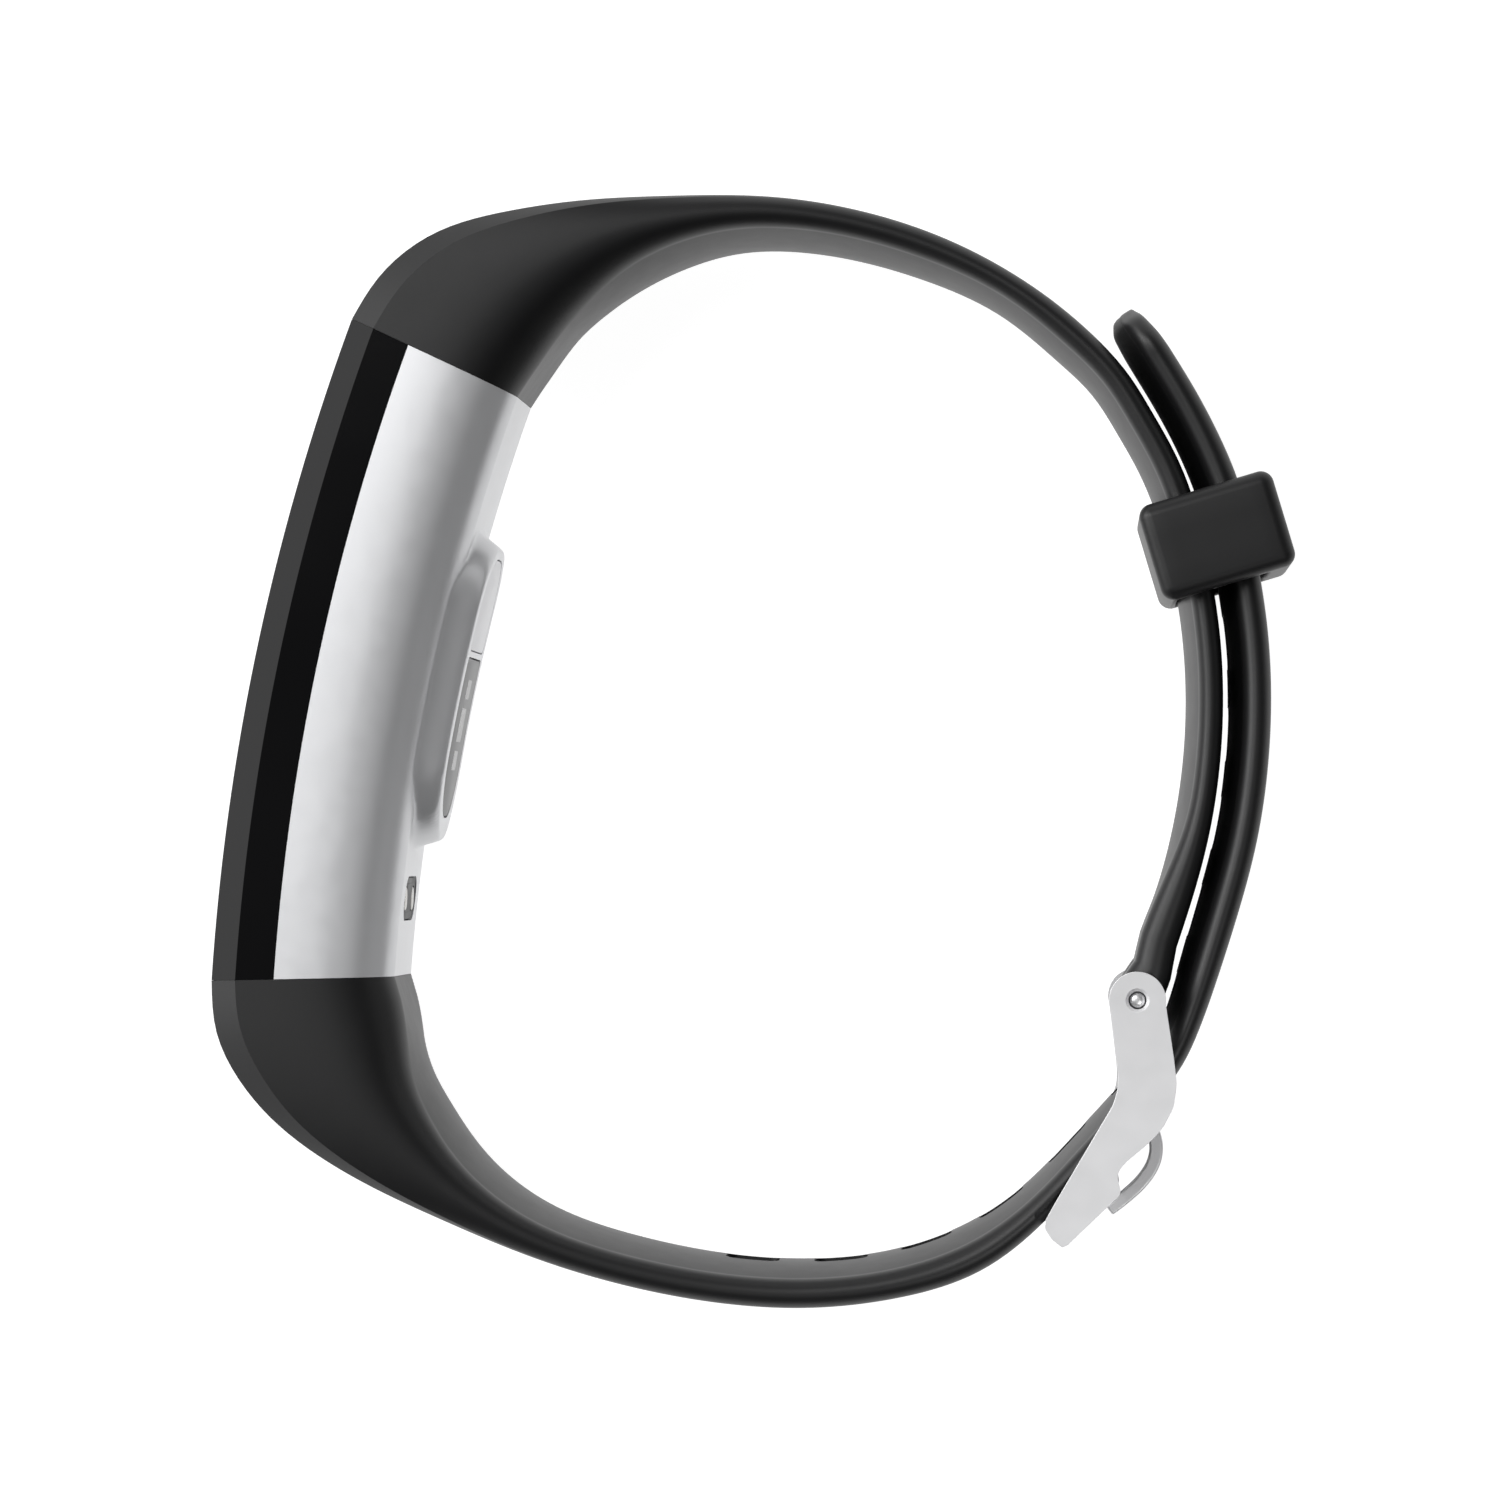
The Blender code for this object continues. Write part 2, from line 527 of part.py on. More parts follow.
# ---------------------------------------------------------------- pod shell
def front_cover():
    ring = POD_SIDE[:3] + [(t, -w) for t, w in reversed(POD_SIDE[:3])]
    rings = [[pod(POD_HALF * f, t, w) for t, w in ring] for f in np.linspace(-1, 1, 13)]
    obj = skin("front_cover", rings, "black glass")
    end, side = POD_HALF - COVER_WALL, MID - COVER_WALL
    cut(obj, stack("cover_room_cut", (-end, end, side, 1.0, 1.0), [(1.3, -0.5), (1.7, 0), (5.0, 0)]))


def cover_seal():
    """Soft ring squeezed between cover and case."""
    body = (SEAL_ROOM[0] + 0.05, SEAL_ROOM[1] - 0.05, SEAL_ROOM[2] - 0.05, 0.8, 0.8)
    obj = stack("cover_seal", body, [(4.17, 0), (4.5, 0)], "seal rubber")
    cut(obj, stack("seal_middle_cut", body, [(4.0, -0.55), (4.7, -0.55)]))


def rear_case():
    side = [(CASE_TOP, MID)] + POD_SIDE[3:]
    ring = side + [(t, -w) for t, w in reversed(side)]
    rings = [[pod(POD_HALF * f, t, w) for t, w in ring] for f in np.linspace(-1, 1, 11)]
    obj = skin("rear_case", rings, "satin silver")
    cut(obj, stack("bump_join", BUMP, [(11.0, 0.5), (11.75, 0.5), (11.95, 0.2), (12.3, 0.03),
                                       (12.95, 0), (13.18, -0.12), (BUMP_TOP, -0.42)]), "UNION")
    cut(obj, stack("case_room_cut", (-16.6, 16.6, 8.8, 1.6, 1.6),
                   [(3.0, 0), (9.6, 0), (10.4, -0.3), (10.7, -0.9)]))
    cut(obj, stack("seal_step_cut", SEAL_ROOM, [(3.5, 0), (4.55, 0)]))
    cut(obj, stack("bump_room_cut", (-9.3, 9.3, 5.3, 1.5, 1.5), [(10.2, 0), (12.35, 0)]))
    cut(obj, stack("plate_recess_cut", PLATE, [(12.8, 0.08), (14.0, 0.08)]))
    cut(obj, stack("window_recess_cut", WINDOW, [(12.8, 0.08), (14.0, 0.08)]))
    cut(obj, stack("window_light_cut", WINDOW_LIGHT, [(11.8, 0), (13.1, 0)]))
    cut(obj, stack("seat_recess_cut", SEAT, [(11.25, 0.06), (12.5, 0.06)]))
    for tag, z in (("near", CONTACT_AT[1]), ("far", -CONTACT_AT[1])):
        cut(obj, through_rear("case_contact_%s_cut" % tag, z, 10.8, 1.6))
    for end in ("upper", "lower"):
        root_place = end + "_root"
        cut(obj, block("case_%s_lug_cut" % end, (5.2, LUG[1] + 0.3, LUG[2] + 0.2), (-1.55, 0, 0),
                       parent=root_place))
        cut(obj, cylinder("case_%s_bar_cut" % end, 0.46, 14.2, (-LUG_BAR_IN, 0, 0), parent=root_place,
                          turn=(math.pi / 2, 0, 0), sides=14))


def through_rear(name, z, depth, length):
    """Round cutter for a charging contact, along the pod's depth."""
    s = CONTACT_AT[0]
    return cylinder(name, 0.85, length, pod(s, depth, z), turn=pod_facing(s), sides=20)


def rear_inset():
    """Plate and window let into the island, flush with its top."""
    levels = [(12.84, 0), (13.2, 0), (BUMP_TOP, -0.1)]
    stack("rear_plate", PLATE, levels, "satin silver")
    stack("optical_window", WINDOW, levels, "dark window")


def charging_contacts():
    obj = stack("contact_seat", SEAT, [(11.3, 0), (11.58, 0), (11.62, -0.08)], "black plastic")
    s = CONTACT_AT[0]
    for tag, z in (("near", CONTACT_AT[1]), ("far", -CONTACT_AT[1])):
        cut(obj, through_rear("seat_%s_cut" % tag, z, 11.5, 1.6))
        pin = [(0, 0.08), (0.65, 0.08), (0.78, 0), (0.78, -1.5), (0, -1.5)]
        turned("contact_" + tag, pin, "nickel", pod(s, 11.6, z), turn=pod_facing(s), sides=20)


# ---------------------------------------------------------------- inside the pod
def display():
    block("display_panel", (23.5, 13.6, 1.2), (2.75, 0, 2.75), "black glass", corner=0.4, edge=0.12)
    middle = [(-8.9, 3.45), (-9.6, 3.45), (-10.1, 3.1), (-10.8, 3.0), (-11.3, 3.2)]
    upper = [(s, t - 0.06) for s, t in middle]
    lower = [(s, t + 0.06) for s, t in reversed(middle)]
    ribbon = plate("display_ribbon", upper + lower, 6.0, "amber film", (0, 0, 0), "pod_middle")
    ribbon.rotation_euler = (math.pi / 2, 0, 0)
    obj = block("inner_frame", (31.2, 16.8, 0.7), (0, 0, 3.9), "grey plastic", corner=1.2)
    cut(obj, block("inner_frame_cut", (19.5, 10.0, 2.0), (2.75, 0, 4.0), corner=0.8))


def boards():
    block("main_board", (31.6, 16.4, 0.6), (0, 0, 4.9), "board green", corner=1.0)
    block("processor_chip", (5.0, 5.0, 0.75), (9.5, -0.5, 5.625), "black plastic", edge=0.08)
    block("radio_shield", (8.0, 10.0, 0.85), (-1.0, 0, 5.675), "foil", corner=0.5, edge=0.1)
    block("motion_chip", (2.0, 2.0, 0.75), (14.2, 0, 5.625), "black plastic", edge=0.06)
    block("battery", (21.0, 12.4, 3.4), (4.2, 0, 8.0), "foil", corner=1.2, edge=0.5)


def motor():
    """Coin motor: can with its axle, lid, and the lop-sided weight that makes the buzz."""
    at = (MOTOR_AT[0], 0, MOTOR_AT[1])
    can = [(0, 0.95), (0.4, 0.95), (0.4, -1.05), (3.7, -1.05), (3.7, 1.35), (4.0, 1.35),
           (4.0, -1.2), (3.85, -1.35), (0, -1.35)]
    turned("motor_can", can, "foil", at, "pod_middle", sides=28)
    turned("motor_cap", [(0, 1.65), (3.9, 1.65), (4.0, 1.6), (4.0, 1.4), (0, 1.4)], "foil", at,
           "pod_middle", sides=28)
    arc = [math.radians(-90 + 15 * k) for k in range(13)]
    hub = [math.radians(90 + 22.5 * k) for k in range(1, 8)]
    outline = [(3.3 * math.cos(a), 3.3 * math.sin(a)) for a in arc]
    outline += [(0.95 * math.cos(a), 0.95 * math.sin(a)) for a in hub]
    obj = plate("motor_weight", outline, 1.3, "tungsten", at, "pod_middle", cut_later=True)
    cut(obj, cylinder("motor_bore_cut", 0.52, 4.0, at, parent="pod_middle", sides=14))


def optics():
    """Pulse sensor behind the window: two lamps, a photodiode and the wall between them."""
    block("sensor_board", (15.2, 9.2, 0.5), (0, 0, 11.25), "board green", corner=0.6)
    block("led_upper", (1.2, 2.8, 0.7), (0, 0, 11.95), "clear lamp", edge=0.08)
    block("led_lower", (1.2, 2.8, 0.7), (-5.5, 0, 11.95), "clear lamp", edge=0.08)
    block("photodiode", (2.3, 3.4, 0.7), (-2.75, 0, 11.95), "black glass", edge=0.08)
    obj = block("light_barrier", (3.7, 4.8, 0.75), (-2.75, 0, 11.975), "black plastic", corner=0.3)
    cut(obj, block("light_barrier_cut", (2.7, 3.8, 2.0), (-2.75, 0, 12.0), corner=0.2))


# ---------------------------------------------------------------- the whole band
def clear():
    for obj in list(bpy.data.objects):
        bpy.data.objects.remove(obj, do_unlink=True)
    for key, title in (("parts", "fitness_tracker_band"), ("cutters", "cutters")):
        GROUPS[key] = bpy.data.collections.new(title)
        bpy.context.scene.collection.children.link(GROUPS[key])


def places():
    """Empties: the band, the pod's middle and two ends, and the axes of the moving pieces."""
    place("band", (*CENTRING, 0))
    place("pod_middle", pod(0, 0, 0), pod_facing(0))
    place("upper_root", pod(POD_HALF, LUG_DEPTH, 0), pod_facing(POD_HALF))
    place("lower_root", pod(-POD_HALF, LUG_DEPTH, 0), pod_facing(-POD_HALF, -1))
    place("keeper_turn", (*LOOP, MID), (0, 0, math.radians(KEEPER_AT)))
    place("buckle_bar", (*EYE, MID))


def build():
    clear()
    places()
    front_cover()
    cover_seal()
    rear_case()
    rear_inset()
    charging_contacts()
    display()
    boards()
    motor()
    optics()
    upper_strap()
    lower_strap()
    lugs()
    keeper()
    buckle_frame()
    buckle_prong()
    spring_bar()


build()
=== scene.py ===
"""Looks of the fitness tracker band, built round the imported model."""
import json
import math

import bmesh
import bpy
import numpy as np
from mathutils import Matrix, Vector

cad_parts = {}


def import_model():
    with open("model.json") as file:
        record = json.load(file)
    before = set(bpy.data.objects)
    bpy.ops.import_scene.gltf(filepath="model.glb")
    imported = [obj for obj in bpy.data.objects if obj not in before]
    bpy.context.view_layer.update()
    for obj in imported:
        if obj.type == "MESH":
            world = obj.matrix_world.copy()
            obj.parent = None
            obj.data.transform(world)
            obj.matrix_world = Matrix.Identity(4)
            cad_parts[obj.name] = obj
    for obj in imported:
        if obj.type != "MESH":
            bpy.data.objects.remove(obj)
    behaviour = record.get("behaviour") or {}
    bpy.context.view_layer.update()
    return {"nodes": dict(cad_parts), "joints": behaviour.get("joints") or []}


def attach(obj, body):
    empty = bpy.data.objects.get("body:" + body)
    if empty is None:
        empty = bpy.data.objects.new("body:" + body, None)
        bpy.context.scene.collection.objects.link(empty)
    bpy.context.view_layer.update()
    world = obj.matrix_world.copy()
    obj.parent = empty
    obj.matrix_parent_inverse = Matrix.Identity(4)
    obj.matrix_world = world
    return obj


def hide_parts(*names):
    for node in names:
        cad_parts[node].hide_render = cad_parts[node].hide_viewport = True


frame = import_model()

# ---------------------------------------------------------------- the design's dimensions, mm and degrees
MM = 0.001
WIDTH = 20.0
MID = WIDTH / 2
POD_CENTRE, POD_RADIUS, POD_MIDDLE = (115.8, -24.4), 151.3, 168.0
POD_HALF, POD_LEAN, POD_DEEP = 21.95, 4.8, 11.7
COVER_DEEP, COVER_WALL, CASE_TOP = 4.1, 1.25, 4.16
POD_SIDE = [(0.0, 8.75), (1.65, 10.0), (4.1, 10.0), (6.6, 9.95), (8.4, 9.75), (9.6, 9.35),
            (10.6, 8.6), (11.3, 7.7), (11.7, 6.6)]
REAR_END = (11.72, 5.3)   # one more point, so that the outline ends level
# islands and recesses: along the pod from, to, half width, corner radius at the low end and the high end
BUMP, BUMP_TOP = (-11.9, 11.2, 7.0, 6.2, 5.0), 13.3
RISE_OUT, RISE_IN = 0.75, 0.55   # where the island's flank starts outside its outline and ends inside
PLATE = (2.95, 10.1, 5.2, 0.5, 4.0)
WINDOW = (-9.85, 2.35, 5.2, 4.6, 0.5)
SEAT = (-17.8, -14.6, 4.2, 1.55, 1.55)
CONTACT_S, CONTACT_Z = -16.2, 2.6
SEAL_ROOM = (-21.35, 21.35, 9.45, 0.8, 0.8)
LOOP = (-12.5, 3.5)
INNER_LAYER, OUTER_LAYER = (40.4, 42.75), (43.15, 45.85)
STRAP_HALF, STRAP_EDGE, STRAP_CROWN = 8.0, 1.15, 0.33
SLOT, SLOT_PITCH, SLOTS_EACH_WAY = (3.5, 4.4, 0.65), 6.05, 5
KEEPER_AT, KEEPER_SKEW, KEEPER_LONG = 13.9, 2.8, 6.4
KEEPER_ROOM, KEEPER_WALL = (40.0, 46.12, 8.2), (0.88, 1.98)
BAR_AT, BAR_R, TIP_R = (41.95, -27.6), 0.9, 0.5
ARM_THICK, ARM_END_R = 1.6, 1.83
PRONG, PRONG_IN, PLAY = (0.9, 1.6), 0.4, 0.07
PRONG_LINE = [(24.62, -17.1), (24.45, -18.9), (24.4, -20.4), (24.62, -21.9), (25.1, -23.3),
              (25.62, -24.5), (25.9, -25.5), (25.8, -26.5), (25.25, -27.55), (24.2, -28.65),
              (22.8, -29.75)]
PRONG_CROSSING = (24.98, -21.58)
EYE = (LOOP[0] + BAR_AT[0] * math.cos(math.radians(BAR_AT[1])),
       LOOP[1] + BAR_AT[0] * math.sin(math.radians(BAR_AT[1])))

# the design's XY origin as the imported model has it, read off the keeper's axis
keeper_axis = next(j for j in frame["joints"] if j["name"] == "keeper_slide")["pos_m"]
SHIFT = Vector((keeper_axis[0] - LOOP[0] * MM, keeper_axis[1] - LOOP[1] * MM, 0))


# ---------------------------------------------------------------- frames of reference
def pod(s, t, z):
    """A point of the bent pod: s along the front, t deep, z across (0 is the middle)."""
    a = math.radians(POD_MIDDLE) - s / POD_RADIUS
    d = a + math.pi - math.radians(POD_LEAN) * s / POD_HALF
    return (POD_CENTRE[0] + POD_RADIUS * math.cos(a) + t * math.cos(d),
            POD_CENTRE[1] + POD_RADIUS * math.sin(a) + t * math.sin(d), MID + z)


def polar(r, degrees, z=0.0):
    a = math.radians(degrees)
    return (LOOP[0] + r * math.cos(a), LOOP[1] + r * math.sin(a), MID + z)


def facing(x_axis, z_axis):
    """Rotation whose local X and Z axes point the two given ways."""
    z = Vector(z_axis).normalized()
    y = z.cross(Vector(x_axis)).normalized()
    return Matrix((y.cross(z), y, z)).transposed()


def pod_facing(s):
    ahead = Vector(pod(s + 0.01, 7, 0)) - Vector(pod(s - 0.01, 7, 0))
    return facing(ahead, Vector(pod(s, 7, 0)) - Vector(pod(s, 0, 0)))


# ---------------------------------------------------------------- mesh tools
def add(name, bm):
    """One object at the origin from a bmesh in millimetres, faces out, shaded smooth."""
    bmesh.ops.recalc_face_normals(bm, faces=bm.faces)
    if bm.calc_volume(signed=True) < 0:
        bmesh.ops.reverse_faces(bm, faces=bm.faces)
    for v in bm.verts:
        v.co = v.co * MM + SHIFT
    mesh = bpy.data.meshes.new(name)
    bm.to_mesh(mesh)
    bm.free()
    obj = bpy.data.objects.new(name, mesh)
    bpy.context.scene.collection.objects.link(obj)
    return obj


def loft(name, rings, ladder=False, closed=False):
    """Body through equal rings; ladder ends follow a bent ring, closed joins last to first."""
    bm = bmesh.new()
    rows = [[bm.verts.new(p) for p in ring] for ring in rings]
    n = len(rings[0])
    pairs = list(zip(rows, rows[1:] + rows[:1])) if closed else list(zip(rows, rows[1:]))
    for a, b in pairs:
        for k in range(n):
            bm.faces.new((a[k], a[(k + 1) % n], b[(k + 1) % n], b[k]))
    for row in () if closed else (rows[0], rows[-1]):
        if ladder:
            for k in range(n // 2 - 1):
                bm.faces.new((row[k], row[k + 1], row[n - 2 - k], row[n - 1 - k]))
        else:
            bm.faces.new(row)
    return add(name, bm)


def rounded(shape, grow=0.0, corner=12, steps=1):
    """Rounded outline in (s, z), grown outwards, its two long sides point for point."""
    low, high, half, r_low, r_high = shape
    arc = [math.pi / 2 * k / corner for k in range(corner + 1)]
    side = [(low + r_low - (r_low + grow) * math.cos(a), half - r_low + (r_low + grow) * math.sin(a))
            for a in arc]
    run = high - r_high - low - r_low
    side += [(low + r_low + run * k / steps, half + grow) for k in range(1, steps)]
    side += [(high - r_high + (r_high + grow) * math.cos(a),
              half - r_high + (r_high + grow) * math.sin(a)) for a in reversed(arc)]
    return side + [(s, -z) for s, z in reversed(side)]


def stack(name, shape, levels, corner=12):
    """Body that follows the pod's bend: a rounded outline at each (depth, grow)."""
    steps = max(1, round((shape[1] - shape[0]) / 0.8))
    return loft(name, [[pod(s, t, z) for s, z in rounded(shape, grow, corner, steps)]
                       for t, grow in levels], ladder=True)


def turned(name, profile, at, turn=None, sides=64, bored=False):
    """Body turned about an axis: (radius, height) rings; with a bore the profile is a closed loop."""
    turn = turn or Matrix.Identity(3)
    rings = [[Vector(at) + turn @ Vector((r * math.cos(a), r * math.sin(a), h))
              for a in (2 * math.pi * k / sides for k in range(sides))] for r, h in profile]
    return loft(name, rings, closed=bored)


def box(name, size, at, turn=None, corner=0.0):
    """Cutter block; corner rounds the edges along its local Z."""
    turn = turn or Matrix.Identity(3)
    bm = bmesh.new()
    bmesh.ops.create_cube(bm, size=1.0)
    bmesh.ops.scale(bm, vec=Vector(size), verts=bm.verts)
    if corner:
        upright = [e for e in bm.edges if abs(e.verts[0].co.z - e.verts[1].co.z) > size[2] / 2]
        bmesh.ops.bevel(bm, geom=upright, offset=corner, segments=10, profile=0.5, affect="EDGES")
    for v in bm.verts:
        v.co = Vector(at) + turn @ v.co
    return add(name, bm)


def apply_modifiers(obj):
    graph = bpy.context.evaluated_depsgraph_get()
    mesh = bpy.data.meshes.new_from_object(obj.evaluated_get(graph))
    old = obj.data
    obj.modifiers.clear()
    obj.data = mesh
    bpy.data.meshes.remove(old)


def cut(obj, *tools, kind="DIFFERENCE"):
    """Cut or join the tools one after another, then drop them."""
    for tool in tools:
        mod = obj.modifiers.new(tool.name, "BOOLEAN")
        mod.operation = kind
        mod.solver = "EXACT"
        mod.object = tool
    apply_modifiers(obj)
    for tool in tools:
        bpy.data.objects.remove(tool)


def join(obj, other):
    """Add the other object's mesh to this one as a separate body."""
    bm = bmesh.new()
    bm.from_mesh(obj.data)
    bm.from_mesh(other.data)
    for material in other.data.materials:
        if material.name not in obj.data.materials:
            obj.data.materials.append(material)
    bm.to_mesh(obj.data)
    bm.free()
    bpy.data.objects.remove(other)


def weld(obj):
    """Merge the points that a cut leaves on top of each other."""
    bm = bmesh.new()
    bm.from_mesh(obj.data)
    bmesh.ops.remove_doubles(bm, verts=bm.verts, dist=1e-7)
    bmesh.ops.dissolve_degenerate(bm, edges=bm.edges, dist=1e-7)
    bm.to_mesh(obj.data)
    bm.free()


def soften(obj, width, segments=3, angle=30):
    mod = obj.modifiers.new("soften", "BEVEL")
    mod.width = width * MM
    mod.segments = segments
    mod.limit_method = "ANGLE"
    mod.angle_limit = math.radians(angle)
    apply_modifiers(obj)


def finish(obj, body, nodes, slot, *materials, sharp=32, flat_faces=False):
    """Smooth shading, material, and what the frame needs to know."""
    obj.data.shade_smooth()
    obj.data.set_sharp_from_angle(angle=math.radians(sharp))
    if flat_faces:
        mod = obj.modifiers.new("normals", "WEIGHTED_NORMAL")
        mod.keep_sharp = True
        apply_modifiers(obj)
    for material in materials:
        obj.data.materials.append(material)
    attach(obj, body)
    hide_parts(*nodes)
    return obj


def curve_through(rows, count):
    """Smooth rows of numbers: natural cubic spline by distance between the first two points."""
    rows = np.array(rows, float)
    mids = (rows[:, 0:2] + rows[:, 2:4]) / 2
    u = np.r_[0, np.cumsum(np.hypot(*np.diff(mids, axis=0).T))]
    h, n = np.diff(u), len(rows)
    a = np.zeros((n, n))
    a[0, 0] = a[-1, -1] = 1
    for i in range(1, n - 1):
        a[i, i - 1:i + 2] = h[i - 1], 2 * (h[i - 1] + h[i]), h[i]
    rhs = np.zeros_like(rows)
    rhs[1:-1] = 6 * ((rows[2:] - rows[1:-1]) / h[1:, None] - (rows[1:-1] - rows[:-2]) / h[:-1, None])
    m = np.linalg.solve(a, rhs)
    out = []
    for w in np.linspace(0, u[-1], count):
        i = min(np.searchsorted(u, w, side="right") - 1, n - 2)
        p, q = u[i + 1] - w, w - u[i]
        out.append((m[i] * p ** 3 + m[i + 1] * q ** 3) / (6 * h[i])
                   + (rows[i] / h[i] - m[i] * h[i] / 6) * p
                   + (rows[i + 1] / h[i] - m[i + 1] * h[i] / 6) * q)
    return out


def smooth_step(x):
    x = min(max(x, 0.0), 1.0)
    return x * x * x * (x * (6 * x - 15) + 10)


# ---------------------------------------------------------------- the pod's side outline
REAR_STEPS = 240
REAR_POINTS = POD_SIDE[2:] + [REAR_END]
REAR_CURVE = curve_through([(t, w, t, w) for t, w in REAR_POINTS], REAR_STEPS + 1)


def side_outline(p):
    """Point (depth, half width) of the outline at p, which counts POD_SIDE's corners."""
    if p <= 1:
        return tuple(Vector(POD_SIDE[0]).lerp(Vector(POD_SIDE[1]), p))
    if p <= 2:
        return tuple(Vector(POD_SIDE[1]).lerp(Vector(POD_SIDE[2]), p - 1))
    lengths = SIDE_LENGTHS
    q = p - 2
    i = min(int(q), len(lengths) - 2)
    at = lengths[i] + (lengths[i + 1] - lengths[i]) * (q - i)
    k = at / lengths[-1] * REAR_STEPS
    j = min(int(k), REAR_STEPS - 1)
    t, w = np.array(REAR_CURVE[j])[:2] * (1 - k + j) + np.array(REAR_CURVE[j + 1])[:2] * (k - j)
    return (min(t, POD_DEEP), min(w, MID))


def running_lengths(points):
    points = np.array(points, float)
    return list(np.r_[0, np.cumsum(np.hypot(*np.diff(points, axis=0).T))])


SIDE_LENGTHS = running_lengths(REAR_POINTS)


# ---------------------------------------------------------------- straps
SIDE_STEPS = [0, 0.03, 0.12, 0.3, 0.5, 0.7, 0.88, 0.96, 1.0, 1.04, 1.12, 1.3, 1.6] + \
             [2 + 0.25 * k for k in range(0, 25)]


def strap_section(half, thin, crown):
    """Half section from outer to inner face: (share of thickness, half width)."""
    edge = min(STRAP_EDGE, half * 0.8)
    side = []
    for p in SIDE_STEPS:
        a = math.pi * p / 8
        slim = ((0.5 - 0.5 * math.cos(a)) * (1 - crown), half - edge + edge * math.sin(a))
        t, w = side_outline(p)
        stout = (t / POD_DEEP, w * half / MID)
        side.append((stout[0] * (1 - thin) + slim[0] * thin, stout[1] * (1 - thin) + slim[1] * thin))
    return side


def strap_ring(x0, y0, x1, y1, half, thin, crown=STRAP_CROWN):
    """Section from the outer point to the inner one, whose face is crowned."""
    half, thin = min(half, MID), min(max(thin, 0.0), 1.0)
    side = strap_section(half, thin, crown)
    across = [0.97, 0.88, 0.76, 0.62, 0.47, 0.31, 0.15]
    rear = [(1 - (1 - side[-1][0]) * f * f, side[-1][1] * f) for f in across]
    front = [(side[0][0], side[0][1] * f) for f in reversed(across)]
    line = front + side + rear
    ring = line + [(u, -w) for u, w in reversed(line)]
    return [(x0 + (x1 - x0) * u, y0 + (y1 - y0) * u, MID + w) for u, w in ring]


def layer(degrees, radii, half=STRAP_HALF, thin=1.0):
    outer, inner = polar(radii[1], degrees), polar(radii[0], degrees)
    return (*outer[:2], *inner[:2], half, thin)


def root(sign):
    s = sign * (POD_HALF + 0.02)
    return (*pod(s, 0, 0)[:2], *pod(s, POD_DEEP, 0)[:2], MID, 0.0)


def upper_route():
    """Stations of the upper strap: outer point, inner point, half width, thinness."""
    rows = [root(1), (-24.3, 30.9, -14.17, 25.13, 10.0, 0.0), (-20.9, 33.6, -12.3, 27.25, 9.97, 0.08),
            (-16.3, 35.05, -9.77, 29.3, 9.85, 0.25), (-11.3, 35.8, -7.1, 30.97, 9.6, 0.5),
            (-6.0, 36.1, -3.96, 32.34, 9.2, 0.75), (-0.5, 36.15, -0.39, 33.1, 8.75, 0.93),
            (5.5, 35.45, 4.87, 32.77, 8.35, 1.0), (11.6, 33.65, 10.56, 31.26, 8.1, 1.0),
            (17.2, 30.75, 15.95, 28.73, 8.0, 1.0), (21.3, 27.6, 19.6, 25.75, 8.0, 1.0)]
    rows += [layer(30, (39.78, 42.24)), layer(26, (40.0, 42.46)), layer(22, (40.25, 42.72)),
             layer(18, (40.38, 42.84))]
    rows += [layer(a, INNER_LAYER) for a in range(12, -19, -6)]
    rows += [layer(-22, (40.4, 42.85))]
    return rows


def lower_route():
    """Stations of the lower strap, from the pod through the buckle to the tail."""
    rows = [root(-1), (-34.9, -17.9, -23.07, -15.89, 10.0, 0.0), (-33.2, -21.4, -22.54, -17.75, 9.99, 0.05),
            (-30.2, -24.6, -21.74, -20.32, 9.93, 0.2), (-26.0, -27.4, -20.4, -22.83, 9.75, 0.42),
            (-20.9, -29.9, -18.1, -26.1, 9.4, 0.68), (-15.0, -32.4, -13.8, -29.5, 8.95, 0.9),
            (-9.2, -34.25, -8.25, -31.51, 8.5, 1.0), (-3.0, -35.5, -2.46, -32.68, 8.15, 1.0),
            (3.2, -35.9, 3.09, -33.04, 8.0, 1.0), (9.4, -35.2, 8.63, -32.45, 8.0, 1.0),
            (14.85, -33.3, 13.51, -30.72, 8.0, 1.0), (18.85, -30.1, 17.2, -28.26, 8.0, 1.0),
            (22.0, -26.6, 20.35, -25.12, 8.0, 1.0), (24.8, -23.5, 23.07, -22.16, 8.0, 1.0)]
    rows += [layer(-31, (44.15, 46.55)), layer(-27.5, (43.95, 46.4)), layer(-23, (43.45, 46.05))]
    rows += [layer(a, OUTER_LAYER) for a in range(-18, 15, 6)]
    rows += [layer(18, (43.23, 45.95)), layer(22, (43.12, 45.8)), layer(26, (42.95, 45.6)),
             layer(30, (42.8, 45.42))]
    return rows


